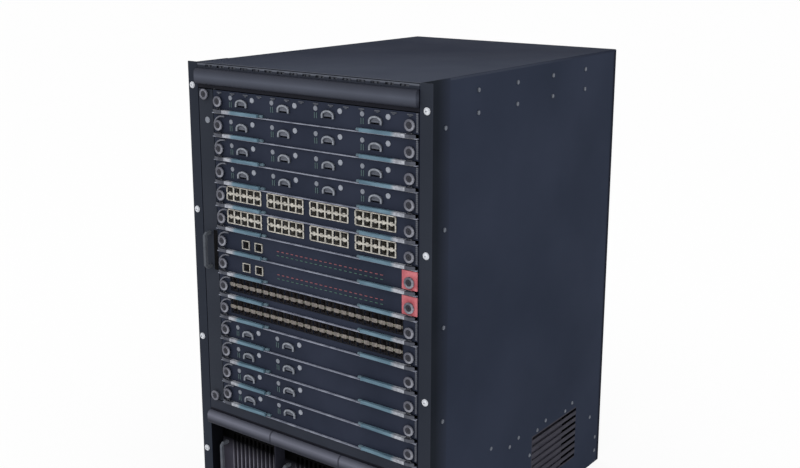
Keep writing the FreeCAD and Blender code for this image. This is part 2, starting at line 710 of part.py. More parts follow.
def lever(number, side, sense):
    """Ejector lever, drawn about its upright pivot: hub, tapering arm and the claw at the outer end."""
    body = new_body(f"card_{number:02d}_lever_{side}")
    half = "(lever_width / 2)"
    arm = [("lever_shoulder", "-lever_hub"), ("lever_length - lever_tip", f"-{half}"),
           ("lever_length", f"-{half} - lever_tip / 2"), ("lever_length", f"{half} - lever_tip / 2"),
           ("lever_length - lever_tip", half), ("lever_shoulder", "lever_hub"),
           ("-lever_claw", f"{half} - lever_clearance"), ("-lever_claw - lever_width / 2", "0")]
    pad(body, "arm", "Z", "0", "lever_height", [(f"({sense}) * ({u})", v) for u, v in arm])
    pad(body, "hub", "Z", "0", "lever_height", Disc("0", "0", "lever_hub"))
    place(body, pivot_x(side), f"{FRONT} - pivot_standoff", f"{slot_floor(number)} + {LEVER_BOTTOM}")
    return body


# ---------------------------------------------------------------- fans
def fan_tray():
    """Narrow upright tray: front panel and frame with two fan bores and motor mounts, and its pull handle."""
    body = new_body("fan_tray_frame")
    low, high = f"({SLOTS_BOTTOM} + card_gap / 2)", f"({SLOTS_TOP} - card_gap / 2)"
    left, right = f"(-{INNER} + card_gap / 2)", f"({FAN_BAY_RIGHT} - card_gap / 2)"
    frame_left = f"({FAN_MIDDLE} - tray_thickness / 2)"
    frame_right = f"({FAN_MIDDLE} + tray_thickness / 2)"
    pad(body, "panel", "Y", FRONT, PLATE_BACK, box(left, right, low, high))
    middle = f"({FRONT} + fan_centre_depth)"
    bores = [Disc(middle, fan_level(name), "rotor_radius + rotor_gap") for name in FAN_NAMES]
    pad(body, "frame", "X", frame_left, frame_right,
        box(PLATE_BACK, f"{PLATE_BACK} + tray_depth", low, high), *bores)
    reach = "(rotor_radius + rotor_gap + strut_overlap)"
    struts = [cross(middle, fan_level(name), reach, "(strut_width / 2)") for name in FAN_NAMES]
    pad(body, "struts", "X", f"{frame_right} - strut_thickness", frame_right, *struts)
    motor_face = f"({rotor_left()} + rotor_width + rotor_clearance)"
    pad(body, "motors", "X", motor_face, frame_right,
        *[polygon(middle, fan_level(name), "motor_radius", MOTOR_SIDES) for name in FAN_NAMES])
    knobs(body, *[(FAN_MIDDLE, level) for level in (f"{low} + tray_knob_inset", f"{high} - tray_knob_inset")])
    handle = new_body("fan_tray_handle")
    handle_low = f"(({low} + {high}) / 2 - tray_handle_height / 2)"
    pad(handle, "bow", "X", f"{FAN_MIDDLE} - handle_bar / 2", f"{FAN_MIDDLE} + handle_bar / 2",
        bow_handle(handle_low, f"({handle_low} + tray_handle_height)", FRONT, "tray_handle_reach"))
    return group("fan_tray", body, handle)


def rotor_left():
    """Left face of the rotors, inside the tray's frame."""
    return f"({FAN_MIDDLE} - tray_thickness / 2 + rotor_clearance)"


def cross(u, v, reach, half):
    """Outline of four arms about a centre."""
    points = []
    for a, b in ((f"-{reach}", f"-{half}"), (f"-{half}", f"-{half}"), (f"-{half}", f"-{reach}"),
                 (half, f"-{reach}"), (half, f"-{half}"), (reach, f"-{half}"), (reach, half), (half, half),
                 (half, reach), (f"-{half}", reach), (f"-{half}", half), (f"-{reach}", half)):
        points.append((f"{u} + {a}", f"{v} + {b}"))
    return points


def bow_handle(low, high, base, reach):
    """Outline in the upright plane of a pull handle: a bar on two feet with cut-off corners."""
    out, inn = f"({base} - {reach})", f"({base} - {reach} + handle_bar)"
    return [(base, low), (f"{inn}", low), (out, f"{low} + handle_bar"), (out, f"{high} - handle_bar"),
            (inn, high), (base, high), (base, f"{high} - handle_bar"), (inn, f"{high} - handle_bar"),
            (inn, f"{low} + handle_bar"), (base, f"{low} + handle_bar")]


def fan_rotor(name):
    """Impeller drawn about its own axle: a hub and slanted blades set round it."""
    body = new_body(f"fan_rotor_{name}")
    pad(body, "hub", "X", "0", "rotor_width", Disc("0", "0", "rotor_hub_radius"))
    half = "(blade_chord / 2)"
    far = "rotor_width - blade_inset"
    blade = pad(body, "blade", "Z", "rotor_hub_radius - blade_root", "rotor_radius - rotor_gap", [
        ("blade_inset", f"-{half}"), ("blade_inset + blade_thickness", f"-{half}"),
        (far, half), (f"{far} - blade_thickness", half),
    ])
    ring = body.newObject("PartDesign::PolarPattern", "blades")
    ring.Originals = [blade]
    ring.Axis = (origin_part(body, "X_Axis"), [""])
    ring.Angle = 360
    ring.Occurrences = BLADES
    body.Tip = ring
    place(body, rotor_left(), f"{FRONT} + fan_centre_depth", fan_level(name))
    return body


# ---------------------------------------------------------------- power modules
def power_module(index):
    """Closed power module with a slotted air intake and a captive screw in its face, and its pull handle."""
    name = f"power_module_{index + 1}"
    body = new_body(f"{name}_case")
    half = f"(({BAY_WIDTH}) / 2 - power_clearance)"
    top = "(power_bay_height - sheet - 2 * power_clearance)"
    pad(body, "case", "Y", FRONT, f"{FRONT} + power_module_depth", box(f"-{half}", half, "0", top))
    start = f"(-{half} + power_handle_inset + grille_gap)"
    slot = pocket(body, "grille_slot", "Y", FRONT, f"{FRONT} + grille_slot_depth",
                  box(start, f"{start} + grille_slot_width", "grille_base", "grille_base + grille_slot_height"))
    repeat(body, "grille", slot, "X", f"{GRILLE_SLOTS - 1} * grille_slot_pitch", GRILLE_SLOTS)
    knobs(body, ("0", "power_knob_level"))
    handle = new_body(f"{name}_handle")
    handle_x = f"(-{half} + power_handle_inset)"
    pad(handle, "bow", "X", f"{handle_x} - handle_bar / 2", f"{handle_x} + handle_bar / 2",
        bow_handle("grille_base", "grille_base + power_handle_height", FRONT, "power_handle_reach"))
    for member in (body, handle):
        place(member, bay_middle(index), "power_recess", "sheet + power_clearance / 2")
    return group(name, body, handle)


# ---------------------------------------------------------------- screws
def panel_screws():
    """The like hexagon-headed screws of the ears and the cover, as one group of solids."""
    half = "body_width / 2"
    places = []
    for sense in (-1, 1):
        for i in range(EAR_SCREWS):
            places.append((sense, f"{half} + ear_sheet", f"{FRONT} + ear_screw_setback",
                           f"{HEIGHT} - ear_screw_drop - {i} * ear_screw_pitch"))
        for i in range(EDGE_SCREWS):
            for j in range(2):
                places.append((sense, half, f"{FRONT} + edge_screw_setback + {i} * edge_screw_pitch",
                               f"{HEIGHT} - edge_screw_drop - {j} * edge_screw_row_gap"))
    heads = []
    for number, (sense, seat, y, z) in enumerate(places, start=1):
        head = doc.addObject("Part::Prism", f"screw_{number:02d}")
        head.Polygon = 6
        bind(head, "Circumradius", "screw_radius")
        bind(head, "Height", "screw_height")
        head.Placement.Rotation = FreeCAD.Rotation(FreeCAD.Vector(0, sense, 0), 90)
        place(head, f"({sense}) * ({seat})", y, z)
        heads.append(head)
    return group("panel_screws", *heads)


# ---------------------------------------------------------------- build
pieces = [outer_cover(), base_tray(), rear_panel(), power_shelf(), guide_wall("left", 1), guide_wall("right", -1),
          rack_ear("left", -1), rack_ear("right", 1), upper_bezel(), lower_bezel(), backplane(), fan_tray()]
pieces += [fan_rotor(name) for name in FAN_NAMES]
pieces += [power_module(i) for i in range(POWER_MODULES)]
for number, kind in enumerate(CARD_KINDS, start=1):
    pieces.append(card(number, kind))
    pieces += [lever(number, "left", 1), lever(number, "right", -1)]
pieces.append(panel_screws())
doc.recompute()

for thing in doc.Objects:
    if {"Invalid", "Error"} & set(thing.State):
        sys.exit(f"{thing.Label} failed: {thing.State}")
os.makedirs("parts", exist_ok=True)
for piece in pieces:
    if piece.Shape.isNull() or not piece.Shape.isValid():
        sys.exit(f"{piece.Label} has no valid shape")
for piece in pieces:
    piece.Shape.exportStep(f"parts/{piece.Label}.step")
    print(piece.Label, len(piece.Shape.Solids), round(piece.Shape.Volume / 1000, 1))
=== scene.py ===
import json
import math
from collections import namedtuple

import bmesh
import bpy
from mathutils import Euler, Matrix, Vector


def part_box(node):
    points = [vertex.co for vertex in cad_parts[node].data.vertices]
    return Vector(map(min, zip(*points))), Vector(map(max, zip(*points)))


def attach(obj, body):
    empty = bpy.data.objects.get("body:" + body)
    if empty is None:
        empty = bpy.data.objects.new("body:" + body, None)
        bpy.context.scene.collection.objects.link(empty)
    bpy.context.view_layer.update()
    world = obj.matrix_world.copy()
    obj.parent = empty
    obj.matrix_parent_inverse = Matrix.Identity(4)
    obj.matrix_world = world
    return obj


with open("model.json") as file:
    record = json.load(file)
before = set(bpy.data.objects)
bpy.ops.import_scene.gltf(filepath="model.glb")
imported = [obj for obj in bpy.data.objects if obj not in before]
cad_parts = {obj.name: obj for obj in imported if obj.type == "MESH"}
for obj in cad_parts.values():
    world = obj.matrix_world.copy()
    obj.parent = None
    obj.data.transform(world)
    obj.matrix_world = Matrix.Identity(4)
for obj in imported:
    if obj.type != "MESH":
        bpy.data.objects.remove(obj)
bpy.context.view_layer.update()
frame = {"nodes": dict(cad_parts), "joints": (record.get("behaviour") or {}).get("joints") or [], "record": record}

nodes = frame["nodes"]
record = frame["record"]

# ---- places, from the frame (metres)
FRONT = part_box("rack_ear_left")[0].y
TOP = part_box("outer_cover")[1].z
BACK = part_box("outer_cover")[1].y
HALF_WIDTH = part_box("outer_cover")[1].x
# the mains inlets stand proud of the rear sheet, near the floor
INLET_PROUD = 0.004
INLET_TOP = 0.080
REAR_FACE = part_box("rear_panel")[1].y - INLET_PROUD
MODULES = [f"power_module_{n}" for n in (1, 2, 3)]
CARDS = [f"card_{n:02d}" for n in range(1, 15)]
OPTIC_CARDS = CARDS[:4] + CARDS[10:]
CAGE_CARDS = CARDS[4:6]
CONTROL_CARDS = CARDS[6:8]
JACK_CARDS = CARDS[8:10]
CARD_LOW, CARD_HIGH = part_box(CARDS[-1])
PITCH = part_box(CARDS[0])[0].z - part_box(CARDS[1])[0].z
CARD_GAP = PITCH - (CARD_HIGH.z - CARD_LOW.z)
SLOTS_LOW = CARD_LOW.z - CARD_GAP / 2
PIVOTS = {joint["name"]: Vector(joint["pos_m"]) for joint in frame["joints"] if "pos_m" in joint}
LEFT_KNOB = PIVOTS["card_01_lever_left_hinge"].x
RIGHT_KNOB = PIVOTS["card_01_lever_right_hinge"].x
OPENINGS = {opening["name"]: [Vector(corner) for corner in opening["box_m"]]
            for opening in record["physics"]["openings"]}

# ---- sizes that repeat the solids' (metres)
# captive screws: radius, how far they stand out, and their middle above the floor of a card's slot
KNOB_RADIUS = 0.0065
KNOB_HEIGHT = 0.005
KNOB_LEVEL = PITCH / 2 + 0.001
TRAY_KNOB_INSET = 0.008
MODULE_KNOB_LEVEL = 0.020
# the field of ports between a card's two end zones, and the four groups in it
END_ZONE = 0.025
FIELD_LEFT = CARD_LOW.x + END_ZONE
FIELD_RIGHT = CARD_HIGH.x - END_ZONE
GROUPS = 4
GROUP_PITCH = (FIELD_RIGHT - FIELD_LEFT) / GROUPS
# levels above the floor of a card's slot
BOARD_LOW, BOARD_TOP = 0.011, 0.013
CAGE_MOUTH = (0.0145, 0.0355)
CAGE_STRIP = (0.0235, 0.0265)
JACK_STRIP = (0.0232, 0.0270)
# port housings
WALL = 0.0012
CAGE_PITCH = 0.0149
CAGE_OPENING = 0.0122
CAGE_WALL = CAGE_PITCH - CAGE_OPENING
CAGE_COLUMNS = 5
JACK_COLUMNS = 24
HOUSING_DEPTH = 0.064
STRIP_PROUD = 0.0018
STRIP_FACE = FRONT - STRIP_PROUD
END_BLOCK = 0.027
# power modules: the ribs stand on the bars between the intake slots, the first one beside the handle
MODULE_DEPTH = 0.430
RIBS = 12
RIB_PITCH = 0.0096
RIB_START = 0.0243
# vents of the cover's sides: from the front, and down from the top
VENT_DEPTHS = (0.338, 0.500)
VENT_DROPS = (0.753, 0.652)

# ---- finishes (display values, metres)
KNOB_SIDE = (124, 126, 132)
KNOB_TIP = ((38, 40, 48), (52, 54, 62))
# what stands in the field of each kind of card: two tones, and the scale of their clouding
PORT_TONES = {"optic": ((58, 61, 70), (78, 81, 90), 260), "cages": ((150, 146, 138), (222, 218, 208), 170),
              "control": ((150, 142, 132), (206, 198, 188), 260), "jacks": ((18, 18, 20), (34, 32, 33), 180)}
# the inside of each kind of socket
WELL_TONES = {"optic": ((60, 64, 74), (84, 88, 98)), "cages": ((96, 93, 87), (134, 130, 122)),
              "control": ((60, 58, 58), (84, 82, 80)), "jacks": ((62, 58, 61), (86, 81, 83))}
# each lever: its pivot, the way from the pivot to its tip, and where the bare metal starts and ends
LEVER_METAL = {"left": (LEFT_KNOB, 1, 0.012, 0.027), "right": (RIGHT_KNOB, -1, 0.006, 0.027)}
# the lowest and highest level of each bezel's band
BANDS = {"upper_bezel": (TOP - 0.035, TOP - 0.009),
         "lower_bezel": (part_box("lower_bezel")[0].z + 0.007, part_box("lower_bezel")[0].z + 0.028)}
# a band's lighter tone along its painted highlight on the crest, how its painted shade grows away from the crest,
# and its joints
CREST_GAIN = 1.12
BAND_FALL, BAND_SHADE = 1.05, 0.92
JOINT_HALF, JOINT_SHADE = 0.0016, 0.7
# the cover's top sheet, the dark flange round its back, and where the painted sheen on its top fades
TOP_SHEET = 0.0040
REAR_FLANGE = 0.009
SHEEN_SLOPE = 0.9
SHEEN_DEPTHS = (FRONT + 0.04, FRONT + 0.38)
# depths between which an ear's plate comes out of its shade
EAR_SHADE = (FRONT + 0.040, FRONT + 0.072)
# how far down the painted shadow of the bay's edge reaches on the modules, and on their ribs
SHADOW_DROPS = (0.058, 0.032)
RIB_SHADOW_DROPS = (0.062, 0.034)
# the tray's handle keeps within this distance of its middle; a module's lies further left than it
HANDLE_REACH = 0.04
# the ledge along a card's lower edge
LEDGE_HEIGHT = 0.0022
# a mask's edge keeps this far from the face that it marks
SKIN = 0.0004
# most of a noise lies in the wider range, and the narrower one gives clouds with clear middles
NOISE_RANGE = (0.3, 0.7)
CLOUD_RANGE = (0.35, 0.65)


def span(middle, half):
    return middle - half, middle + half


def linear(colour, gain=1.0):
    """A colour of three display values (0-255) as the linear colour that a shader takes, times a gain."""
    shares = [value / 255 for value in colour]
    values = [s / 12.92 if s <= 0.04045 else ((s + 0.055) / 1.055) ** 2.4 for s in shares]
    return (*[gain * value for value in values], 1.0)


class Look:
    """A procedural material under construction, in the object's own coordinates."""

    def __init__(self, name):
        self.material = bpy.data.materials.new(name)
        self.material.use_nodes = True
        self.nodes = self.material.node_tree.nodes
        self.links = self.material.node_tree.links
        self.shader = self.nodes["Principled BSDF"]
        self.place = self.nodes.new("ShaderNodeTexCoord").outputs["Object"]
        split = self.nodes.new("ShaderNodeSeparateXYZ")
        self.links.new(self.place, split.inputs[0])
        self.x, self.y, self.z = split.outputs

    def feed(self, socket, value):
        """Gives a socket a link, a number, a linear colour of four values or a display colour of three."""
        if isinstance(value, bpy.types.NodeSocket):
            self.links.new(value, socket)
        elif isinstance(value, tuple) and len(value) == 3:
            socket.default_value = linear(value)
        else:
            socket.default_value = value

    # numbers and masks
    def math(self, operation, first, second=0.0):
        node = self.nodes.new("ShaderNodeMath")
        node.operation = operation
        self.feed(node.inputs[0], first)
        self.feed(node.inputs[1], second)
        return node.outputs[0]

    def less(self, value, amount):
        return self.math("SUBTRACT", value, amount)

    def off(self, value, middle):
        """Distance of a value from a middle."""
        return self.math("ABSOLUTE", self.less(value, middle))

    def above(self, value, limit):
        return self.math("GREATER_THAN", value, limit)

    def below(self, value, limit):
        return self.math("LESS_THAN", value, limit)

    def both(self, first, second):
        return self.math("MULTIPLY", first, second)

    def between(self, value, low, high):
        return self.both(self.above(value, low), self.below(value, high))

    def spread(self, value, low, high, to_low, to_high):
        """A value's range from low to high, stretched to run from to_low to to_high."""
        node = self.nodes.new("ShaderNodeMapRange")
        for socket, number in zip(node.inputs[1:5], (low, high, to_low, to_high)):
            socket.default_value = number
        self.links.new(value, node.inputs[0])
        return node.outputs[0]

    def slot_level(self):
        """Height above the floor of the card slot that a point is in."""
        return self.math("MODULO", self.less(self.z, SLOTS_LOW), PITCH)

    def noise(self, scale, detail, stretch=(1, 1, 1)):
        mapping = self.nodes.new("ShaderNodeMapping")
        mapping.inputs["Scale"].default_value = stretch
        self.links.new(self.place, mapping.inputs["Vector"])
        node = self.nodes.new("ShaderNodeTexNoise")
        node.inputs["Scale"].default_value = scale
        node.inputs["Detail"].default_value = detail
        self.links.new(mapping.outputs[0], node.inputs["Vector"])
        return node.outputs["Fac"]

    def patches(self, middle, swing, scale, detail):
        """A number that swings about its middle value from patch to patch."""
        return self.spread(self.noise(scale, detail), *NOISE_RANGE, middle - swing, middle + swing)

    # colours
    def mix(self, share, first, second, kind="RGBA"):
        """Colour, or number if kind is FLOAT, between first (share 0) and second (share 1)."""
        node = self.nodes.new("ShaderNodeMix")
        node.data_type = kind
        for name, value in (("Factor", share), ("A", first), ("B", second)):
            self.feed(node.inputs[name], value)
        return node.outputs["Result"]

    def tones(self, dark, light, scale, stretch=(1, 1, 1)):
        """Soft clouding between two near tones of one colour."""
        cloud = self.spread(self.noise(scale, 4, stretch), *CLOUD_RANGE, 0, 1)
        return self.mix(cloud, dark, light)

    def layers(self, colour, *coats):
        """A colour with coats over it, each given as a mask and the colour that it lays down."""
        for mask, coat in coats:
            colour = self.mix(mask, colour, coat)
        return colour

    # finishes
    def bump(self, height, strength, distance):
        node = self.nodes.new("ShaderNodeBump")
        node.inputs["Strength"].default_value = strength
        node.inputs["Distance"].default_value = distance
        self.links.new(height, node.inputs["Height"])
        self.links.new(node.outputs[0], self.shader.inputs["Normal"])

    def finish(self, colour, roughness, metallic=0.0, gloss=0.5):
        self.feed(self.shader.inputs["Base Color"], colour)
        self.feed(self.shader.inputs["Roughness"], roughness)
        self.feed(self.shader.inputs["Metallic"], metallic)
        self.shader.inputs["Specular IOR Level"].default_value = gloss
        return self.material

    def powder_coat(self, colour, roughness, gloss, pebble=0.25, patch=7):
        """Paint with a fine pebble and a slow cloud in its roughness."""
        self.bump(self.noise(900, 2), pebble, 0.0004)
        return self.finish(colour, self.patches(roughness, 0.06, patch, 3), gloss=gloss)

    def satin(self, colour, gloss):
        """Moulded plastic with a very fine grain."""
        self.bump(self.noise(1500, 1), 0.12, 0.0002)
        return self.finish(colour, self.patches(0.5, 0.06, 30, 2), gloss=gloss)


# ---- plain materials
def brushed_metal(name, dark, light, roughness, metallic=0.85):
    look = Look(name)
    streak = look.noise(260, 3)
    look.bump(streak, 0.15, 0.0002)
    shine = look.spread(streak, *NOISE_RANGE, roughness - 0.08, roughness + 0.1)
    return look.finish(look.tones(dark, light, 300), shine, metallic)


def moulded(name, dark, light):
    look = Look(name)
    return look.satin(look.tones(dark, light, 12), 0.3)


def shelf_look():
    """Grey paint of the shelf over the power bay."""
    look = Look("shelf_paint")
    return look.powder_coat(look.tones((40, 41, 50), (50, 50, 60), 4), 0.75, 0.015)


def well_look():
    """Painted shade: the unlit inside of a recess."""
    look = Look("dark_well")
    look.bump(look.noise(400, 2), 0.1, 0.0002)
    return look.finish(look.tones((8, 8, 10), (16, 17, 20), 50), 0.8, gloss=0.1)


def lamp_lens(name, dark, light):
    """A small unlit or dimly lit lens with a clear coat."""
    look = Look(name)
    swirl = look.noise(900, 2)
    look.bump(swirl, 0.05, 0.0001)
    look.shader.inputs["Coat Weight"].default_value = 0.4
    return look.finish(look.mix(look.spread(swirl, *NOISE_RANGE, 0, 1), dark, light), 0.35, gloss=0.3)


# ---- materials of the solids
def cover_look():
    """The cover: its top painted darker toward the back with a painted sheen over its front right, a painted
    highlight along its front edge and painted shade on its inner faces; greyer on the side vents' bars, dark at
    the back.
    """
    look = Look("cover_paint")
    top = look.above(look.z, TOP - TOP_SHEET)
    sides = look.below(look.z, TOP - TOP_SHEET)
    # painted sheen: the top is painted darker toward the back and paler toward its front right
    reach = look.less(look.y, look.math("MULTIPLY", look.x, SHEEN_SLOPE))
    sheen = look.both(top, look.spread(reach, *SHEEN_DEPTHS, 1, 0))
    # painted highlight along the top's front edge
    front_highlight = look.both(top, look.below(look.y, FRONT + 0.0040))
    # painted shade: the cover's inner faces are painted near black
    within = look.below(look.math("ABSOLUTE", look.x), HALF_WIDTH - 0.0006)
    inside = look.both(within, look.below(look.z, TOP - 0.0006))
    vent = look.both(look.between(look.y, *(FRONT + depth for depth in VENT_DEPTHS)),
                     look.between(look.z, *(TOP - drop for drop in VENT_DROPS)))
    flange = look.both(look.above(look.y, BACK - REAR_FLANGE), sides)
    colour = look.layers(look.tones((41, 47, 61), (47, 53, 68), 4),
                         (top, look.tones((35, 40, 54), (39, 44, 58), 6)),
                         (sheen, look.tones((53, 58, 71), (59, 64, 77), 5)),
                         (front_highlight, (71, 75, 85)),
                         (inside, (17, 18, 23)),
                         (vent, look.tones((58, 58, 66), (68, 67, 75), 40, (1, 1, 6))),
                         (flange, (30, 33, 44)))
    return look.powder_coat(colour, 0.75, 0.015)


def ear_look():
    """A rack ear: its front flange, and the plate behind it that runs from shade into the cover's tone."""
    look = Look("ear_paint")
    shade = look.tones((27, 31, 38), (32, 36, 43), 8)
    lit = look.tones((40, 45, 58), (46, 51, 65), 4)
    plate = look.mix(look.spread(look.y, *EAR_SHADE, 0, 1), shade, lit)
    behind = look.above(look.y, FRONT + 0.0036)
    colour = look.layers(look.tones((44, 48, 57), (50, 54, 63), 4), (behind, plate))
    return look.powder_coat(colour, 0.75, 0.015)


def knob_coats(look):
    """The coats of a card's captive screws: grey sides and dark ends."""
    off_nearest = look.math("MINIMUM", look.off(look.x, LEFT_KNOB), look.off(look.x, RIGHT_KNOB))
    near = look.below(off_nearest, KNOB_RADIUS + 0.0006)
    side = look.both(near, look.below(look.y, FRONT - 0.0030))
    tip = look.both(near, look.below(look.y, FRONT - KNOB_HEIGHT + SKIN))
    return (side, look.tones((112, 114, 120), (150, 152, 158), 500)), (tip, look.tones(*KNOB_TIP, 300))


def card_front(look, kind, level, proud, ports):
    """Colour of a card's face: painted plate, ports, ledge, captive screws, and what its kind adds."""
    coats = [(ports, look.tones(*PORT_TONES[kind]))]
    if kind == "jacks":
        strip = look.both(ports, look.between(level, JACK_STRIP[0] - 0.0001, JACK_STRIP[1] + 0.0001))
        coats.append((strip, look.tones((86, 80, 74), (142, 134, 124), 240, (1, 1, 0.3))))
    if kind == "control":
        block = look.both(proud, look.above(look.x, CARD_HIGH.x - END_BLOCK - 0.0005))
        coats.append((block, look.tones((176, 92, 100), (208, 124, 130), 70)))
    ledge = look.both(proud, look.below(level, LEDGE_HEIGHT))
    coats.append((ledge, look.tones((118, 122, 137), (156, 160, 175), 60)))
    return look.layers(look.tones((39, 44, 58), (46, 51, 66), 9), *coats, *knob_coats(look))


def card_look(kind):
    """A card: its face, and the board and housings behind it."""
    look = Look(f"card_{kind}")
    level = look.slot_level()
    proud = look.below(look.y, FRONT - SKIN)
    field = look.both(proud, look.between(look.x, FIELD_LEFT - 0.001, FIELD_RIGHT + 0.001))
    ports = look.both(field, look.between(level, BOARD_TOP - 0.0006, PITCH))
    board = look.between(level, BOARD_LOW - 0.0002, BOARD_TOP + 0.0002)
    housed = look.below(look.y, FRONT + HOUSING_DEPTH)
    rest = look.mix(housed, look.tones((56, 58, 62), (92, 94, 96), 150), look.tones(*WELL_TONES[kind], 200))
    rest = look.mix(board, rest, look.tones((20, 62, 44), (32, 84, 58), 60))
    behind = look.above(look.y, FRONT + 0.0024)
    colour = look.mix(behind, card_front(look, kind, level, proud, ports), rest)
    look.bump(look.noise(800, 2), 0.15, 0.0003)
    shine = look.patches(0.6, 0.05, 40, 2)
    if kind in ("cages", "control"):
        return look.finish(colour, look.mix(ports, shine, 0.4, "FLOAT"), look.both(ports, 0.4), 0.05)
    return look.finish(colour, shine, gloss=0.05)


def lever_look(side):
    """Anodised arm, bare and brighter near the pivot, with a dark hub."""
    look = Look(f"lever_{side}")
    pivot, sense, bare_from, bare_to = LEVER_METAL[side]
    away = look.math("MULTIPLY", look.less(look.x, pivot), sense)
    bare = look.tones((140, 143, 152), (182, 185, 193), 200)
    blue = look.tones((84, 110, 126), (108, 136, 152), 120, (0.2, 1, 1))
    hub = look.tones((66, 69, 79), (84, 87, 97), 90)
    colour = look.layers(bare, (look.spread(away, bare_to - 0.003, bare_to + 0.005, 0, 1), blue),
                         (look.below(away, bare_from), hub))
    look.bump(look.noise(700, 2, (0.1, 1, 1)), 0.12, 0.0002)
    return look.finish(colour, look.patches(0.48, 0.06, 90, 2), 0.2, 0.2)


def board_look():
    """The backplane: a green board with black sockets."""
    look = Look("backplane_board")
    socket = look.below(look.y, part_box("backplane")[1].y - 0.0045)
    colour = look.layers(look.tones((18, 58, 42), (30, 82, 58), 40), (socket, (28, 28, 32)))
    look.bump(look.noise(300, 3), 0.1, 0.0002)
    return look.finish(colour, 0.45)


def rear_look():
    """Rear sheet: the cover's paint and black inlet housings."""
    look = Look("rear_sheet")
    outside = look.above(look.y, REAR_FACE + 0.0003)
    inside = look.below(look.y, REAR_FACE - 0.0020)
    inlet = look.both(look.below(look.z, INLET_TOP), look.math("MAXIMUM", outside, inside))
    colour = look.layers(look.tones((42, 48, 62), (48, 54, 69), 4),
                         (inlet, look.tones((16, 16, 18), (26, 26, 29), 90)))
    look.bump(look.noise(900, 2), 0.25, 0.0004)
    return look.finish(colour, 0.6, gloss=0.05)


def bezel_look(name, light, seams):
    """Satin moulding whose band has a painted highlight along its crest and painted shade toward its edges, with
    fine upright joints, on a plate painted dark as the shadow round the band, with a painted highlight along the
    top edge.
    """
    look = Look(name)
    low, high = BANDS[name]
    # painted highlight along the band's crest, with painted shade that grows toward its edges
    off_crest = look.math("ABSOLUTE", look.spread(look.z, low, high, -1.0, 1.0))
    shade = look.math("MULTIPLY", look.math("POWER", off_crest, BAND_FALL), BAND_SHADE)
    band = look.layers(look.tones(linear(light), linear(light, CREST_GAIN), 14), (shade, (34, 36, 46)))
    for x in seams:
        joint = look.between(look.x, *span(x, JOINT_HALF))
        band = look.mix(look.math("MULTIPLY", joint, JOINT_SHADE), band, (36, 38, 48))
    # the plate is painted dark as the shadow under and round the band; the upper bezel's top edge carries a
    # painted highlight
    plate = look.layers(look.tones((22, 23, 31), (28, 29, 38), 10),
                        (look.above(look.z, high), look.tones((42, 46, 56), (48, 52, 63), 10)),
                        (look.above(look.z, TOP - 0.0044), look.tones((86, 90, 100), (96, 100, 110), 14)))
    return look.satin(look.mix(look.below(look.y, FRONT - 0.0010), plate, band), 0.08)


def grip_coats(look, face, zone, grip):
    """Coats of what stands proud of a tray's or module's face: its handle in a zone, and its screws."""
    proud = look.below(look.y, face - 0.0010)
    handle = look.both(proud, zone)
    knob = look.less(proud, handle)
    tip = look.both(knob, look.below(look.y, face - KNOB_HEIGHT + SKIN))
    return (handle, grip), (knob, KNOB_SIDE), (tip, look.tones(*KNOB_TIP, 300))


def tray_look():
    """Fan tray: painted panel, grey knobs and a lighter pull handle."""
    look = Look("fan_tray_paint")
    low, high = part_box("fan_tray")
    middle = look.between(look.z, *span((low.z + high.z) / 2, HANDLE_REACH))
    grips = grip_coats(look, FRONT, middle, look.tones((76, 80, 87), (88, 92, 99), 60))
    return look.powder_coat(look.layers(look.tones((45, 49, 58), (51, 55, 64), 5), *grips), 0.6, 0.05)


def module_look(name):
    """Power module: grey case with a painted shadow under the bay's upper edge, lighter intake slots, handle and
    knob.
    """
    look = Look(f"{name}_paint")
    low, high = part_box(name)
    face = high.y - MODULE_DEPTH
    left = look.below(look.x, (low.x + high.x) / 2 - HANDLE_REACH)
    slot = look.both(look.above(look.y, face + 0.0020), look.below(look.y, face + 0.0104))
    # painted shadow of the bay's upper edge, near black over the top of the face
    painted_shadow = look.spread(look.z, *(high.z - drop for drop in SHADOW_DROPS), 0, 1)
    colour = look.layers(look.tones((66, 65, 76), (76, 75, 86), 8), (slot, (74, 72, 82)), (painted_shadow, (1, 1, 2)),
                         *grip_coats(look, face, left, look.tones((88, 92, 100), (104, 108, 116), 60)))
    return look.powder_coat(colour, 0.6, 0.03, 0.22, 9)


def rib_look():
    """The modules' upright ribs, with painted shade over their upper ends under the bay's edge."""
    look = Look("intake_ribs")
    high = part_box(MODULES[0])[1].z
    # painted shade over the ribs' upper ends
    shade = look.spread(look.z, *(high - drop for drop in RIB_SHADOW_DROPS), 0, 1)
    colour = look.layers(look.tones((106, 105, 117), (122, 121, 133), 12), (shade, (18, 18, 23)))
    return look.satin(colour, 0.2)


def ring_look():
    """The cards' knurled rims, with a painted highlight on their lower right and duller on their upper left."""
    look = Look("card_rings")
    from_left, from_right = look.less(look.x, LEFT_KNOB), look.less(look.x, RIGHT_KNOB)
    across = look.mix(look.above(look.x, 0.0), from_left, from_right, "FLOAT")
    down = look.less(KNOB_LEVEL, look.slot_level())
    # painted highlight on each rim's lower right
    lit = look.spread(look.math("ADD", across, down), -0.006, 0.011, 0, 1)
    colour = look.layers(look.tones((78, 79, 90), (98, 99, 110), 300),
                         (lit, look.tones((124, 126, 136), (156, 158, 168), 300)))
    look.bump(look.noise(900, 2), 0.12, 0.0002)
    return look.finish(colour, look.patches(0.46, 0.06, 90, 2), 0.15, 0.4)


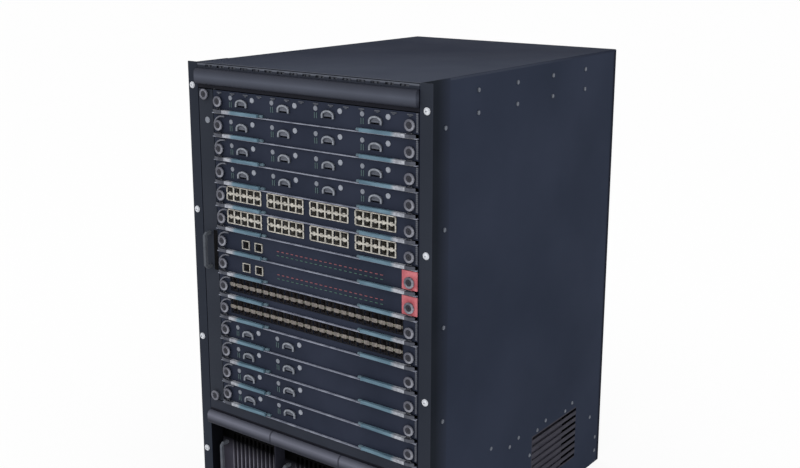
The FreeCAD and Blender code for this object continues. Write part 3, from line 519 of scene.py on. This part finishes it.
# ---- the scene's own materials
PLATED = brushed_metal("plated_sheet", (120, 122, 126), (158, 160, 164), 0.42)
STEEL = brushed_metal("bright_steel", (196, 199, 206), (226, 229, 235), 0.36, 0.2)
DULL = brushed_metal("dull_steel", (76, 82, 93), (100, 106, 117), 0.5, 0.2)
RING = brushed_metal("knurled_ring", (86, 87, 97), (120, 121, 132), 0.46, 0.15)
GUARD = brushed_metal("guard_wire", (84, 87, 98), (114, 117, 128), 0.46, 0.15)
NICKEL = brushed_metal("nickel", (158, 155, 148), (214, 211, 202), 0.4, 0.35)
COMB = brushed_metal("contact_comb", (106, 100, 96), (146, 139, 133), 0.45, 0.15)
BAIL = brushed_metal("bail_wire", (116, 121, 131), (148, 153, 162), 0.46, 0.2)
CATCH = brushed_metal("catch_clip", (76, 96, 108), (98, 120, 132), 0.5, 0.1)
FILTER = brushed_metal("filter_weave", (58, 62, 73), (82, 86, 97), 0.6, 0.1)
BLACK = moulded("black_moulding", (18, 18, 21), (30, 30, 34))
DRIVE = moulded("screw_drive", (35, 36, 45), (47, 48, 57))
DOOR = moulded("dust_door", (84, 88, 99), (104, 108, 119))
EDGE = moulded("edge_gasket", (76, 79, 88), (96, 99, 108))
RIB = rib_look()
CARD_RING = ring_look()
RECESS_SHADE = well_look()
WHITE_LENS = lamp_lens("white_lens", (132, 137, 148), (156, 161, 172))
GREY_LENS = lamp_lens("grey_lens", (108, 113, 124), (130, 135, 146))
TEAL_LENS = lamp_lens("teal_lens", (54, 76, 80), (70, 94, 96))
RED_LENS = lamp_lens("red_lens", (112, 58, 68), (142, 74, 82))
GREEN_LENS = lamp_lens("green_lens", (46, 82, 73), (62, 102, 90))


def dress_solids():
    """Gives each solid of the frame its material."""
    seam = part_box(MODULES[0])[1].x + JOINT_HALF
    ears = ear_look()
    looks = {"outer_cover": cover_look(), "rack_ear_left": ears, "rack_ear_right": ears,
             "upper_bezel": bezel_look("upper_bezel", (77, 81, 93), ()),
             "lower_bezel": bezel_look("lower_bezel", (104, 106, 119), (seam, -seam)),
             "power_shelf": shelf_look(), "fan_tray": tray_look(), "backplane": board_look(),
             "rear_panel": rear_look(), "panel_screws": DULL}
    looks.update({name: PLATED for name in ("base_tray", "guide_wall_left", "guide_wall_right")})
    looks.update({name: BLACK for name in ("fan_rotor_lower", "fan_rotor_upper")})
    looks.update({name: module_look(name) for name in MODULES})
    kinds = {"optic": OPTIC_CARDS, "cages": CAGE_CARDS, "control": CONTROL_CARDS, "jacks": JACK_CARDS}
    for kind, cards in kinds.items():
        looks.update(dict.fromkeys(cards, card_look(kind)))
    for side in ("left", "right"):
        looks.update(dict.fromkeys([f"{card}_lever_{side}" for card in CARDS], lever_look(side)))
    for name, look in looks.items():
        nodes[name].data.materials.clear()
        nodes[name].data.materials.append(look)


# ---- mesh helpers
# a lens or a dome: its radius, the radius of its flat top, the height of its rim and its whole height
Lens = namedtuple("Lens", "radius flat rim height")


def card_level(card):
    """Floor of a card's slot."""
    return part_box(card)[0].z - CARD_GAP / 2


def card_top(card):
    return card_level(card) + PITCH - CARD_GAP / 2


def piece(name, mesh, look, body, bevel=0):
    """Makes an object of the mesh, softens its edges and lets it ride on a body."""
    data = bpy.data.meshes.new(name)
    bmesh.ops.recalc_face_normals(mesh, faces=mesh.faces)
    mesh.to_mesh(data)
    mesh.free()
    data.materials.append(look)
    thing = bpy.data.objects.new(name, data)
    bpy.context.scene.collection.objects.link(thing)
    if bevel:
        soft = thing.modifiers.new("soft_edges", "BEVEL")
        soft.width = bevel
        soft.segments = 2
        soft.limit_method = "ANGLE"
    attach(thing, body)


def card_piece(card, part, mesh, look, bevel=0):
    piece(f"{card}_{part}", mesh, look, card, bevel)


def add_block(mesh, low, high):
    """A box between two corners."""
    sides = list(zip(low, high))
    corners = [mesh.verts.new((x, y, z)) for x in sides[0] for y in sides[1] for z in sides[2]]
    for ring in ((0, 1, 3, 2), (4, 6, 7, 5), (0, 4, 5, 1), (2, 3, 7, 6), (0, 2, 6, 4), (1, 5, 7, 3)):
        mesh.faces.new([corners[i] for i in ring])


def add_pad(mesh, across, up, proud, foot=0.0, face=FRONT):
    """A low block on a face: its limits in x and in z, and how far out of the face it ends and starts."""
    add_block(mesh, (across[0], face - proud, up[0]), (across[1], face - foot, up[1]))


def add_cross(mesh, x, z, arm, half_width, outer, inner):
    """Two crossed bars between an outer and an inner y."""
    for reach, rise in ((arm, half_width), (half_width, arm)):
        add_block(mesh, (x - reach, outer, z - rise), (x + reach, inner, z + rise))


def add_rings(mesh, rings, closed=False):
    """Skins rings of points, one to the next; the ends are capped, or joined to each other if closed."""
    rings = [[mesh.verts.new(spot) for spot in ring] for ring in rings]
    pairs = list(zip(rings, rings[1:]))
    if closed:
        pairs.append((rings[-1], rings[0]))
    for first, second in pairs:
        for i in range(len(first)):
            j = (i + 1) % len(first)
            mesh.faces.new((first[i], first[j], second[j], second[i]))
    if not closed:
        mesh.faces.new(rings[0])
        mesh.faces.new(rings[-1])


def circle(count):
    return [(math.cos(2 * math.pi * i / count), math.sin(2 * math.pi * i / count)) for i in range(count)]


def add_lathe(mesh, x, z, section, segments=28, closed=False):
    """A turned shape about an axis along Y; its section is (radius, y) pairs."""
    add_rings(mesh, [[(x + radius * c, y, z + radius * s) for c, s in circle(segments)]
                     for radius, y in section], closed)


def add_lens(mesh, x, z, lens, segments, face=FRONT, outward=-1):
    """A low lens or dome on a face, towards the front (outward -1) or the back (1)."""
    section = ((lens.radius, face), (lens.radius, face + outward * lens.rim),
               (lens.flat, face + outward * lens.height))
    add_lathe(mesh, x, z, section, segments)


def add_tube(mesh, path, radius, sides=8):
    """A round wire along a path that lies in an upright plane across Y."""
    depth = Vector((0, 1, 0))
    rings = []
    for i, point in enumerate(path):
        ahead = (path[min(i + 1, len(path) - 1)] - path[max(i - 1, 0)]).normalized()
        across = ahead.cross(depth).normalized()
        rings.append([point + radius * (c * across + s * depth) for c, s in circle(sides)])
    add_rings(mesh, rings)


def arc(centre, half_width, height, start, end, steps=12):
    """Points of an ellipse's arc in the upright plane across Y, between two angles in degrees."""
    points = []
    for i in range(steps + 1):
        angle = math.radians(start + (end - start) * i / steps)
        points.append(centre + Vector((half_width * math.cos(angle), 0, height * math.sin(angle))))
    return points


# ---- captive screws and levers' catches
WIRE_RADIUS = 0.0016
SCREW_DISH = Lens(0.0046, 0.0034, 0.0003, 0.0004)
RIM_INNER, RIM_OUTER = 0.0051, 0.0086
RIM_ROOT = KNOB_RADIUS + 0.0003
# the knurled rim's section: radius, and distance behind the screw's tip
RIM_SECTION = ((RIM_INNER, 0), (RIM_INNER, -0.0006), (RIM_INNER + 0.0006, -0.0011),
               (RIM_OUTER - 0.0007, -0.0011), (RIM_OUTER, -0.0005), (RIM_OUTER, 0.0014),
               (RIM_OUTER - 0.0008, 0.0020), (RIM_ROOT, 0.0020), (RIM_ROOT, 0))


def add_captive_end(rims, drives, x, z, tip):
    """A captive screw's end: its knurled rim, and its dished middle with a cross, as a dark insert."""
    add_lathe(rims, x, z, [(radius, tip + behind) for radius, behind in RIM_SECTION], closed=True)
    add_lens(drives, x, z, SCREW_DISH, 20, tip)
    add_cross(drives, x, z, arm=0.0028, half_width=0.0006, outer=tip - 0.0007, inner=tip - SCREW_DISH.rim)


def captive_ends(card):
    rims, drives = bmesh.new(), bmesh.new()
    for x in (LEFT_KNOB, RIGHT_KNOB):
        add_captive_end(rims, drives, x, card_level(card) + KNOB_LEVEL, FRONT - KNOB_HEIGHT)
    card_piece(card, "rings", rims, CARD_RING)
    card_piece(card, "drives", drives, DRIVE)


def guard_arc(card):
    """The curved guard that runs from the card's upper edge down beside its left captive screw."""
    mesh = bmesh.new()
    corner = Vector((LEFT_KNOB + 0.0080, FRONT - 0.0016, card_level(card) + KNOB_LEVEL - 0.001))
    add_tube(mesh, arc(corner, half_width=0.0188, height=0.0160, start=78, end=168), WIRE_RADIUS)
    card_piece(card, "guard", mesh, GUARD)


def lever_catches(card):
    """The clips that hold the inner tips of the card's closed levers."""
    mesh = bmesh.new()
    level = card_level(card)
    for side, corner, sense in (("left", 1, 1), ("right", 0, -1)):
        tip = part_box(f"{card}_lever_{side}")[corner].x
        across = sorted((tip + sense * 0.0009, tip + sense * 0.0085))
        add_pad(mesh, across, (level + 0.0026, level + 0.0068), proud=0.0034)
        add_pad(mesh, across, (level + 0.0036, level + 0.0058), proud=0.0042, foot=0.0034)
    card_piece(card, "lever_catches", mesh, CATCH, 0.0004)


# ---- ports
# marks round a large optical socket: offsets from its middle, and drops from the card's upper edge
MARK_DROP = 0.0100
LAMP_OFFSET, LAMP = 0.0215, Lens(0.0042, 0.0027, 0.0010, 0.0018)
DOT_OFFSET, DOT = -0.0255, Lens(0.0038, 0.0025, 0.0008, 0.0012)
PIPE_OFFSETS = (-0.0275, -0.0235)
PIPE_DROPS = (0.0250, 0.0160)
# its bail wire and its dust door
BAIL_MARGIN = 0.0014
BAIL_PROUD = 0.0034
BAIL_RISE = 0.0065
DOOR_PROUD = 0.0012
# spring fingers of the small optical cages
SPRING_FOOT = 0.0008
TONGUE = 0.0016
# contact combs and lamps between the network jacks
TEETH = 4
TOOTH_PITCH = 0.0025
TOOTH_WIDTH = 0.0019
JACK_LAMP_OFFSET, JACK_LAMP = 0.0060, Lens(0.0006, 0.0003, 0.0004, 0.0006)
# shells of a control card's jacks, and its two rows of lamps above the floor of the slot
SHELL = 0.0014
SHELL_GAP = 0.0002
SHELL_PROUD = 0.0024
ROW_LAMPS = 22
ROW_PITCH = 0.0098
ROW_START = 0.108
RED_ROW = (0.0206, 0.0220)
GREEN_ROW = (0.0140, 0.0152)


def add_bail(mesh, low, high):
    """The bail wire that arches over a large optical socket."""
    middle, half = (low.x + high.x) / 2, (high.x - low.x) / 2 + BAIL_MARGIN
    face = FRONT - BAIL_PROUD
    foot = low.z + 0.0005
    arch = arc(Vector((middle, face, high.z - 0.0040)), half, BAIL_RISE, start=180, end=0, steps=14)
    path = [Vector((middle - half, face, foot)), *arch, Vector((middle + half, face, foot))]
    add_tube(mesh, path, WIRE_RADIUS)


def add_dust_door(mesh, low, high):
    """The closed door in a large socket's upper half, with its raised panel."""
    across = (low.x + 0.0002, high.x - 0.0002)
    panel = (low.x + 0.0030, high.x - 0.0030)
    add_pad(mesh, across, (high.z - 0.0062, high.z), proud=DOOR_PROUD, foot=0.0004)
    add_pad(mesh, panel, (high.z - 0.0050, high.z - 0.0032), proud=0.0018, foot=DOOR_PROUD)


def optic_fronts(card):
    """Bail wires, dust doors, lamps, dots and light pipes of the large optical sockets."""
    wires, doors, lamps, dots, pipes = (bmesh.new() for _ in range(5))
    top = card_top(card)
    for name, (low, high) in OPENINGS.items():
        if not name.startswith(f"{card}_socket"):
            continue
        middle = (low.x + high.x) / 2
        add_bail(wires, low, high)
        add_dust_door(doors, low, high)
        add_lens(lamps, middle + LAMP_OFFSET, top - MARK_DROP, LAMP, 20)
        add_lens(dots, middle + DOT_OFFSET, top - MARK_DROP, DOT, 16)
        for offset in PIPE_OFFSETS:
            up = [top - drop for drop in PIPE_DROPS]
            add_pad(pipes, span(middle + offset, 0.0007), up, proud=0.0008)
    card_piece(card, "bails", wires, BAIL)
    card_piece(card, "dust_doors", doors, DOOR, 0.0002)
    card_piece(card, "lamps", lamps, WHITE_LENS)
    card_piece(card, "dots", dots, GREY_LENS)
    card_piece(card, "light_pipes", pipes, TEAL_LENS, 0.0002)


def cage_springs(card):
    """Spring fingers on the walls round the mouths of the small optical cages."""
    mesh = bmesh.new()
    level = card_level(card)
    middle = level + sum(CAGE_STRIP) / 2
    upright_rows = ((CAGE_MOUTH[0], CAGE_STRIP[0]), (CAGE_STRIP[1], CAGE_MOUTH[1]))
    tongue_rows = ((CAGE_STRIP[0] - TONGUE, CAGE_STRIP[0]), (CAGE_STRIP[1], CAGE_STRIP[1] + TONGUE))
    for group in range(GROUPS):
        left = FIELD_LEFT + group * GROUP_PITCH + WALL
        right = left + CAGE_COLUMNS * CAGE_PITCH - CAGE_WALL
        for column in range(CAGE_COLUMNS + 1):
            across = span(left + column * CAGE_PITCH - CAGE_WALL / 2, 0.0009 + 0.0003 * (column % 2))
            for low, high in upright_rows:
                add_pad(mesh, across, (level + low, level + high), proud=STRIP_PROUD, foot=SPRING_FOOT)
        for column in range(CAGE_COLUMNS):
            across = span(left + column * CAGE_PITCH + CAGE_OPENING / 2, 0.0026)
            for low, high in tongue_rows:
                add_pad(mesh, across, (level + low, level + high), proud=0.0014, foot=SPRING_FOOT)
        add_pad(mesh, (left, right), span(middle, 0.0006), proud=0.0004, face=STRIP_FACE)
    card_piece(card, "springs", mesh, NICKEL, 0.0002)


def jack_contacts(card):
    """Contact blocks and lamps on the strip between the two rows of network jacks."""
    combs, lamps = bmesh.new(), bmesh.new()
    pitch = (FIELD_RIGHT - WALL - FIELD_LEFT) / JACK_COLUMNS
    low, high = (card_level(card) + edge for edge in JACK_STRIP)
    for i in range(JACK_COLUMNS):
        x = FIELD_LEFT + (i + 0.5) * pitch
        for tooth in range(TEETH):
            edge = x - 0.0048 + tooth * TOOTH_PITCH
            add_pad(combs, (edge, edge + TOOTH_WIDTH), (low - 0.0012, high + 0.0012), 0.0006, face=STRIP_FACE)
        for lamp in span(x, JACK_LAMP_OFFSET):
            add_lens(lamps, lamp, (low + high) / 2, JACK_LAMP, 10, STRIP_FACE)
    card_piece(card, "combs", combs, COMB)
    card_piece(card, "lamps", lamps, GREEN_LENS)


def add_jack_shell(mesh, low, high):
    """The bright shell round a control card's jack: two bars across, and two uprights between them."""
    for up in ((low.z - SHELL, low.z - SHELL_GAP), (high.z + SHELL_GAP, high.z + SHELL)):
        add_pad(mesh, (low.x - SHELL, high.x + SHELL), up, SHELL_PROUD)
    for across in ((low.x - SHELL, low.x - SHELL_GAP), (high.x + SHELL_GAP, high.x + SHELL)):
        add_pad(mesh, across, (low.z - SHELL_GAP, high.z + SHELL_GAP), SHELL_PROUD)


def control_details(card):
    """Jack shells and rows of status lamps."""
    shells, reds, greens = bmesh.new(), bmesh.new(), bmesh.new()
    level = card_level(card)
    for name, (low, high) in OPENINGS.items():
        if name.startswith(f"{card}_jack"):
            add_jack_shell(shells, low, high)
    for i in range(ROW_LAMPS):
        across = span(FIELD_LEFT + ROW_START + i * ROW_PITCH, 0.0026)
        for lamps, row in ((reds, RED_ROW), (greens, GREEN_ROW)):
            add_pad(lamps, across, (level + row[0], level + row[1]), proud=0.0007)
    card_piece(card, "shells", shells, NICKEL, 0.0003)
    card_piece(card, "red_lamps", reds, RED_LENS, 0.0002)
    card_piece(card, "green_lamps", greens, GREEN_LENS, 0.0002)


# ---- card edges and boards
GASKET_TURNS = 12
# no turn of the gasket ends in this stretch above the card's lower edge: the lever passes there
GASKET_BREAK = (0.0004, 0.0100)
FINGERS = 14
# heat sinks across the board, from the card's left edge
SINKS = 3
SINK_START = 0.085
SINK_PITCH = 0.115
SINK_HALF = 0.028
SINK_BASE = 0.003
SINK_HEIGHT = 0.014
SINK_DEPTHS = (FRONT + 0.15, FRONT + 0.21)
FINS = 10
FIN_START = -0.027
FIN_PITCH = 0.0059
FIN_WIDTH = 0.0012
# a column of chips behind each heat sink
CHIPS = 4
CHIP_START = 0.25
CHIP_PITCH = 0.038
CHIP_LENGTH = 0.024
CHIP_HALF = 0.014
CHIP_HEIGHT = 0.0024


def edge_gasket(card):
    """Woven gasket strip down the card's right edge."""
    mesh = bmesh.new()
    low, top = card_level(card) + CARD_GAP / 2, card_top(card)
    across = (CARD_HIGH.x - 0.0040, CARD_HIGH.x - 0.0008)
    step = (top - low) / GASKET_TURNS
    for i in range(GASKET_TURNS):
        z = low + i * step
        if not low + GASKET_BREAK[0] < z + step < low + GASKET_BREAK[1]:
            add_pad(mesh, across, (z + 0.0002, z + step - 0.0002), proud=0.0010)
    card_piece(card, "edge_gasket", mesh, EDGE, 0.0003)


def gasket_fingers(card):
    """Spring fingers along the card's upper edge."""
    mesh = bmesh.new()
    top = card_top(card)
    pitch = (CARD_HIGH.x - CARD_LOW.x) / FINGERS
    for i in range(FINGERS):
        x = CARD_LOW.x + (i + 0.5) * pitch
        add_pad(mesh, span(x, 0.0052), (top - 0.0042, top - 0.0020), proud=0.0012)
        add_pad(mesh, span(x, 0.0022), (top - 0.0058, top - 0.0042), proud=0.0016)
    card_piece(card, "gasket_fingers", mesh, FILTER, 0.0004)


def board_parts(card):
    """Heat sinks and chips on the board, seen when the card is drawn out."""
    sinks, chips = bmesh.new(), bmesh.new()
    top = card_level(card) + BOARD_TOP
    near, far = SINK_DEPTHS
    for i in range(SINKS):
        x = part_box(card)[0].x + SINK_START + i * SINK_PITCH
        add_block(sinks, (x - SINK_HALF, near, top), (x + SINK_HALF, far, top + SINK_BASE))
        for fin in range(FINS):
            edge = x + FIN_START + fin * FIN_PITCH
            add_block(sinks, (edge, near, top + SINK_BASE), (edge + FIN_WIDTH, far, top + SINK_HEIGHT))
        for chip in range(CHIPS):
            y = FRONT + CHIP_START + chip * CHIP_PITCH
            add_block(chips, (x - CHIP_HALF, y, top), (x + CHIP_HALF, y + CHIP_LENGTH, top + CHIP_HEIGHT))
    card_piece(card, "heat_sinks", sinks, PLATED)
    card_piece(card, "chips", chips, BLACK, 0.0002)


def dress_cards():
    gasket_fingers(CARDS[0])
    for card in CARDS:
        captive_ends(card)
        board_parts(card)
        lever_catches(card)
    for card in CARDS[1:]:
        guard_arc(card)
    for card in OPTIC_CARDS + CAGE_CARDS + JACK_CARDS:
        edge_gasket(card)
    for card in OPTIC_CARDS:
        optic_fronts(card)
    for card in CAGE_CARDS:
        cage_springs(card)
    for card in JACK_CARDS:
        jack_contacts(card)
    for card in CONTROL_CARDS:
        control_details(card)


# ---- chassis details
# small screws of the lower sides: distance from the front and drop from the top, in millimetres
SIDE_SCREWS = ((204, 622), (263, 642), (292, 636), (356, 646), (331, 684), (385, 638), (457, 646), (483, 639),
               (557, 694), (582, 744), (582, 772))
# a side screw's section: radius, and distance out from the cover's side
DOME_SECTION = ((0.0034, -0.0002), (0.0034, 0.0004), (0.0025, 0.0010), (0.0012, 0.0013))
REAR_SCREWS = 7
REAR_SCREW = Lens(0.0028, 0.0018, 0.0006, 0.0014)
REAR_SCREW_INSET = 0.012
REAR_SCREW_END = 0.014
EARTH_STUDS = (0.180, 0.196)
EARTH_STUD_LEVEL = 0.105
# an earth stud's section: radius, and distance out from the rear sheet
STUD_SECTION = ((0.0060, 0), (0.0060, 0.0012), (0.0031, 0.0012), (0.0031, 0.0036))
# the header's filter: upright strands from its left end, and threads across them
STRANDS = 54
STRAND_START = 0.006
STRAND_PITCH = 0.008
STRAND_WIDTH = 0.0050
THREADS = 3
THREAD_PITCH = 0.0022
THREAD_WIDTH = 0.0012


def add_rack_screw(heads, drives, x, z, shank):
    """A pan-headed screw with its washer and crossed recess; shank is its thread's radius."""
    section = ((shank, 0.0080), (shank, 0), (0.0054, 0), (0.0054, -0.0008), (0.0046, -0.0008),
               (0.0044, -0.0020), (0.0030, -0.0030))
    add_lathe(heads, x, z, [(radius, FRONT + behind) for radius, behind in section])
    add_cross(drives, x, z, arm=0.0014, half_width=0.0003, outer=FRONT - 0.0032, inner=FRONT - 0.0029)


def rack_screws():
    """Bright screws in the ears' holes."""
    heads, drives = bmesh.new(), bmesh.new()
    for mount in record["mounts"]:
        if mount["kind"] != "bolt_pattern":
            continue
        centre, dims = Vector(mount["pos_m"]), mount["dims"]
        for x in span(0, dims["spacing_x_mm"] / 2000):
            for z in span(centre.z, dims["spacing_y_mm"] / 2000):
                add_rack_screw(heads, drives, x, z, dims["hole_r_mm"] / 1000 - 0.0002)
    piece("rack_screws", heads, STEEL, "chassis")
    piece("rack_screw_drives", drives, DULL, "chassis")


def add_dome(mesh, sense, y, z):
    """A low dome on one side of the cover."""
    rings = []
    for radius, proud in DOME_SECTION:
        x = sense * (HALF_WIDTH + proud)
        rings.append([(x, y + radius * c, z + radius * s) for c, s in circle(16)])
    add_rings(mesh, rings)


def side_screws():
    """Small domed screws of the lower sides."""
    mesh = bmesh.new()
    for depth, drop in SIDE_SCREWS:
        for sense in (-1, 1):
            add_dome(mesh, sense, FRONT + depth / 1000, TOP - drop / 1000)
    piece("side_screws", mesh, DULL, "chassis")


def rear_screws():
    """Domed screws round the rear sheet and a pair of earth studs."""
    mesh, studs = bmesh.new(), bmesh.new()
    for i in range(REAR_SCREWS):
        z = REAR_SCREW_END + i * (TOP - 2 * REAR_SCREW_END) / (REAR_SCREWS - 1)
        for x in span(0, HALF_WIDTH - REAR_SCREW_INSET):
            add_lens(mesh, x, z, REAR_SCREW, 16, REAR_FACE, outward=1)
    section = [(radius, REAR_FACE + proud) for radius, proud in STUD_SECTION]
    for x in EARTH_STUDS:
        add_lathe(studs, x, EARTH_STUD_LEVEL, section, 20)
    piece("rear_screws", mesh, DULL, "chassis")
    piece("earth_studs", studs, NICKEL, "chassis")


def header_filter():
    """The woven filter that shows through the header's perforations."""
    mesh = bmesh.new()
    low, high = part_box("upper_bezel")
    near = FRONT + 0.0024
    bottom, top = TOP - 0.0082, high.z - 0.0004
    for i in range(STRANDS):
        x = low.x + STRAND_START + i * STRAND_PITCH
        add_block(mesh, (x, near, bottom), (x + STRAND_WIDTH, near + 0.0012, top))
    for i in range(THREADS):
        z = bottom + 0.0008 + i * THREAD_PITCH
        add_block(mesh, (low.x + 0.004, near + 0.0010, z), (high.x - 0.004, near + 0.0020, z + THREAD_WIDTH))
    piece("header_filter", mesh, FILTER, "chassis")


# ---- fan tray and power modules
TRAY_LAMP = Lens(0.0052, 0.0036, 0.0010, 0.0018)
TRAY_LAMP_DROP = 0.0920
# the finger recess beside the handle, as painted shade: its limits from the tray's middle, and its steps
RECESS_ACROSS = (0.0066, 0.0150)
RECESS_HALF = 0.034
RECESS_STEPS = 3
MODULE_LAMP = Lens(0.0018, 0.0009, 0.0008, 0.0014)
MODULE_LAMP_PITCH = 0.009
MODULE_LAMP_INSET = 0.016
RIB_WIDTH = 0.0018
RIB_FOOT = 0.038
RIB_HEAD = 0.034


def tray_details():
    """Rims, lamp and finger recess on the fan tray's front; the recess is painted shade on low steps."""
    low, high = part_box("fan_tray")
    x, middle = (low.x + high.x) / 2, (low.z + high.z) / 2
    rims, drives, lamp, recess = (bmesh.new() for _ in range(4))
    for z in (low.z + TRAY_KNOB_INSET, high.z - TRAY_KNOB_INSET):
        add_captive_end(rims, drives, x, z, FRONT - KNOB_HEIGHT)
    add_lens(lamp, x + 0.003, TOP - TRAY_LAMP_DROP, TRAY_LAMP, 24)
    # the finger recess is drawn as low steps out of the face, painted near black as its shade
    for step in range(RECESS_STEPS):
        inset = step * 0.0008
        across = (x + RECESS_ACROSS[0] + inset, x + RECESS_ACROSS[1] - inset)
        up = (middle - RECESS_HALF + inset, middle + RECESS_HALF - inset)
        add_pad(recess, across, up, proud=0.0003 + step * 0.0001)
    for part, mesh, look in (("rings", rims, RING), ("drives", drives, DRIVE), ("lamp", lamp, GREY_LENS),
                             ("recess", recess, RECESS_SHADE)):
        piece(f"fan_tray_{part}", mesh, look, "fan_tray")


def module_details(name):
    """Rim, lamps and upright ribs of a power module."""
    low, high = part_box(name)
    face = high.y - MODULE_DEPTH
    level = low.z + MODULE_KNOB_LEVEL
    rim, drive, lamps, ribs = (bmesh.new() for _ in range(4))
    add_captive_end(rim, drive, (low.x + high.x) / 2, level, face - KNOB_HEIGHT)
    for z in (level, level + MODULE_LAMP_PITCH):
        add_lens(lamps, high.x - MODULE_LAMP_INSET, z, MODULE_LAMP, 14, face)
    for i in range(RIBS):
        edge = low.x + RIB_START + i * RIB_PITCH
        add_pad(ribs, (edge, edge + RIB_WIDTH), (low.z + RIB_FOOT, high.z - RIB_HEAD), 0.0016, face=face)
    piece(f"{name}_ring", rim, RING, name)
    piece(f"{name}_drive", drive, DRIVE, name)
    piece(f"{name}_lamps", lamps, GREEN_LENS, name)
    piece(f"{name}_ribs", ribs, RIB, name, 0.0003)


# ---- stage, light, camera
FLOOR_HALF = 40
# share of the floor's own glow where a ray sees it directly; the rest shows the object's shadow
FLOOR_GLOW = 0.88
AMBIENT = 0.93
CAMERA_PLACE = (1.1045, FRONT - 1.2279, TOP + 0.1924)
# degrees to the right of the front, degrees downwards, and the photograph's slight roll
CAMERA_TURN, CAMERA_DIP, CAMERA_ROLL = 36.79, 13.18, 0.09
CAMERA_LENS = 49.867
CAMERA_SHIFT = -0.045


def seen_directly(tree, links):
    """1 for rays from the camera and for mirror-like and see-through rays, so metal shows the surround."""
    path = tree.new("ShaderNodeLightPath")
    seen = path.outputs["Is Camera Ray"]
    for kind in ("Is Glossy Ray", "Is Transmission Ray"):
        either = tree.new("ShaderNodeMath")
        either.operation = "MAXIMUM"
        links.new(seen, either.inputs[0])
        links.new(path.outputs[kind], either.inputs[1])
        seen = either.outputs[0]
    return seen


def floor_material():
    """Pale matt floor that glows a little to rays that see it directly."""
    material = bpy.data.materials.new("pale_floor")
    material.use_nodes = True
    tree, links = material.node_tree.nodes, material.node_tree.links
    matt = tree["Principled BSDF"]
    matt.inputs["Base Color"].default_value = (0.98, 0.98, 0.98, 1)
    matt.inputs["Roughness"].default_value = 0.9
    glow = tree.new("ShaderNodeEmission")
    glow.inputs["Color"].default_value = (1, 1, 1, 1)
    share = tree.new("ShaderNodeMath")
    share.operation = "MULTIPLY"
    share.inputs[1].default_value = FLOOR_GLOW
    links.new(seen_directly(tree, links), share.inputs[0])
    mixer = tree.new("ShaderNodeMixShader")
    for socket, shade in zip(mixer.inputs, (share, matt, glow)):
        links.new(shade.outputs[0], socket)
    links.new(mixer.outputs[0], tree["Material Output"].inputs["Surface"])
    return material


def stage():
    """A wide pale floor that keeps a soft shadow."""
    data = bpy.data.meshes.new("floor")
    near, far = span(0, FLOOR_HALF)
    data.from_pydata([(near, near, 0), (far, near, 0), (far, far, 0), (near, far, 0)], [], [(0, 1, 2, 3)])
    floor = bpy.data.objects.new("floor", data)
    bpy.context.scene.collection.objects.link(floor)
    data.materials.append(floor_material())


def surround():
    """A white world, a little dimmer as a light than as a background."""
    world = bpy.data.worlds.new("surround")
    bpy.context.scene.world = world
    world.use_nodes = True
    tree, links = world.node_tree.nodes, world.node_tree.links
    background = tree["Background"]
    background.inputs["Color"].default_value = (1, 1, 1, 1)
    strength = tree.new("ShaderNodeMapRange")
    strength.inputs["To Min"].default_value = AMBIENT
    strength.inputs["To Max"].default_value = 1.0
    links.new(seen_directly(tree, links), strength.inputs["Value"])
    links.new(strength.outputs[0], background.inputs["Strength"])


def soft_lamp(name, place, target, size, power):
    data = bpy.data.lights.new(name, "AREA")
    data.size = size
    data.energy = power
    lamp = bpy.data.objects.new(name, data)
    bpy.context.scene.collection.objects.link(lamp)
    lamp.location = place
    lamp.rotation_euler = (Vector(target) - Vector(place)).to_track_quat("-Z", "Y").to_euler()


def camera():
    """At the photograph's angle: from the right of the front and a little above."""
    data = bpy.data.cameras.new("camera")
    data.sensor_width = 36
    data.lens = CAMERA_LENS
    data.shift_y = CAMERA_SHIFT
    view = bpy.data.objects.new("camera", data)
    bpy.context.scene.collection.objects.link(view)
    turn, dip, roll = (math.radians(angle) for angle in (CAMERA_TURN, CAMERA_DIP, CAMERA_ROLL))
    facing = Euler((math.pi / 2 - dip, 0, turn)).to_matrix() @ Matrix.Rotation(roll, 3, "Z")
    view.rotation_euler = facing.to_euler()
    view.location = CAMERA_PLACE
    bpy.context.scene.camera = view


camera()
stage()
surround()
soft_lamp("key", place=(0.6, -2.6, 3.0), target=(0, 0, 0.45), size=2.6, power=16)
soft_lamp("top", place=(0.2, 0.4, 3.4), target=(0, 0, 0.8), size=2.4, power=2)
soft_lamp("side", place=(3.4, 0.6, 1.6), target=(0, 0, 0.4), size=2.4, power=5)
dress_solids()
dress_cards()
rack_screws()
side_screws()
rear_screws()
header_filter()
tray_details()
for name in MODULES:
    module_details(name)
bpy.context.scene.view_settings.view_transform = "Standard"
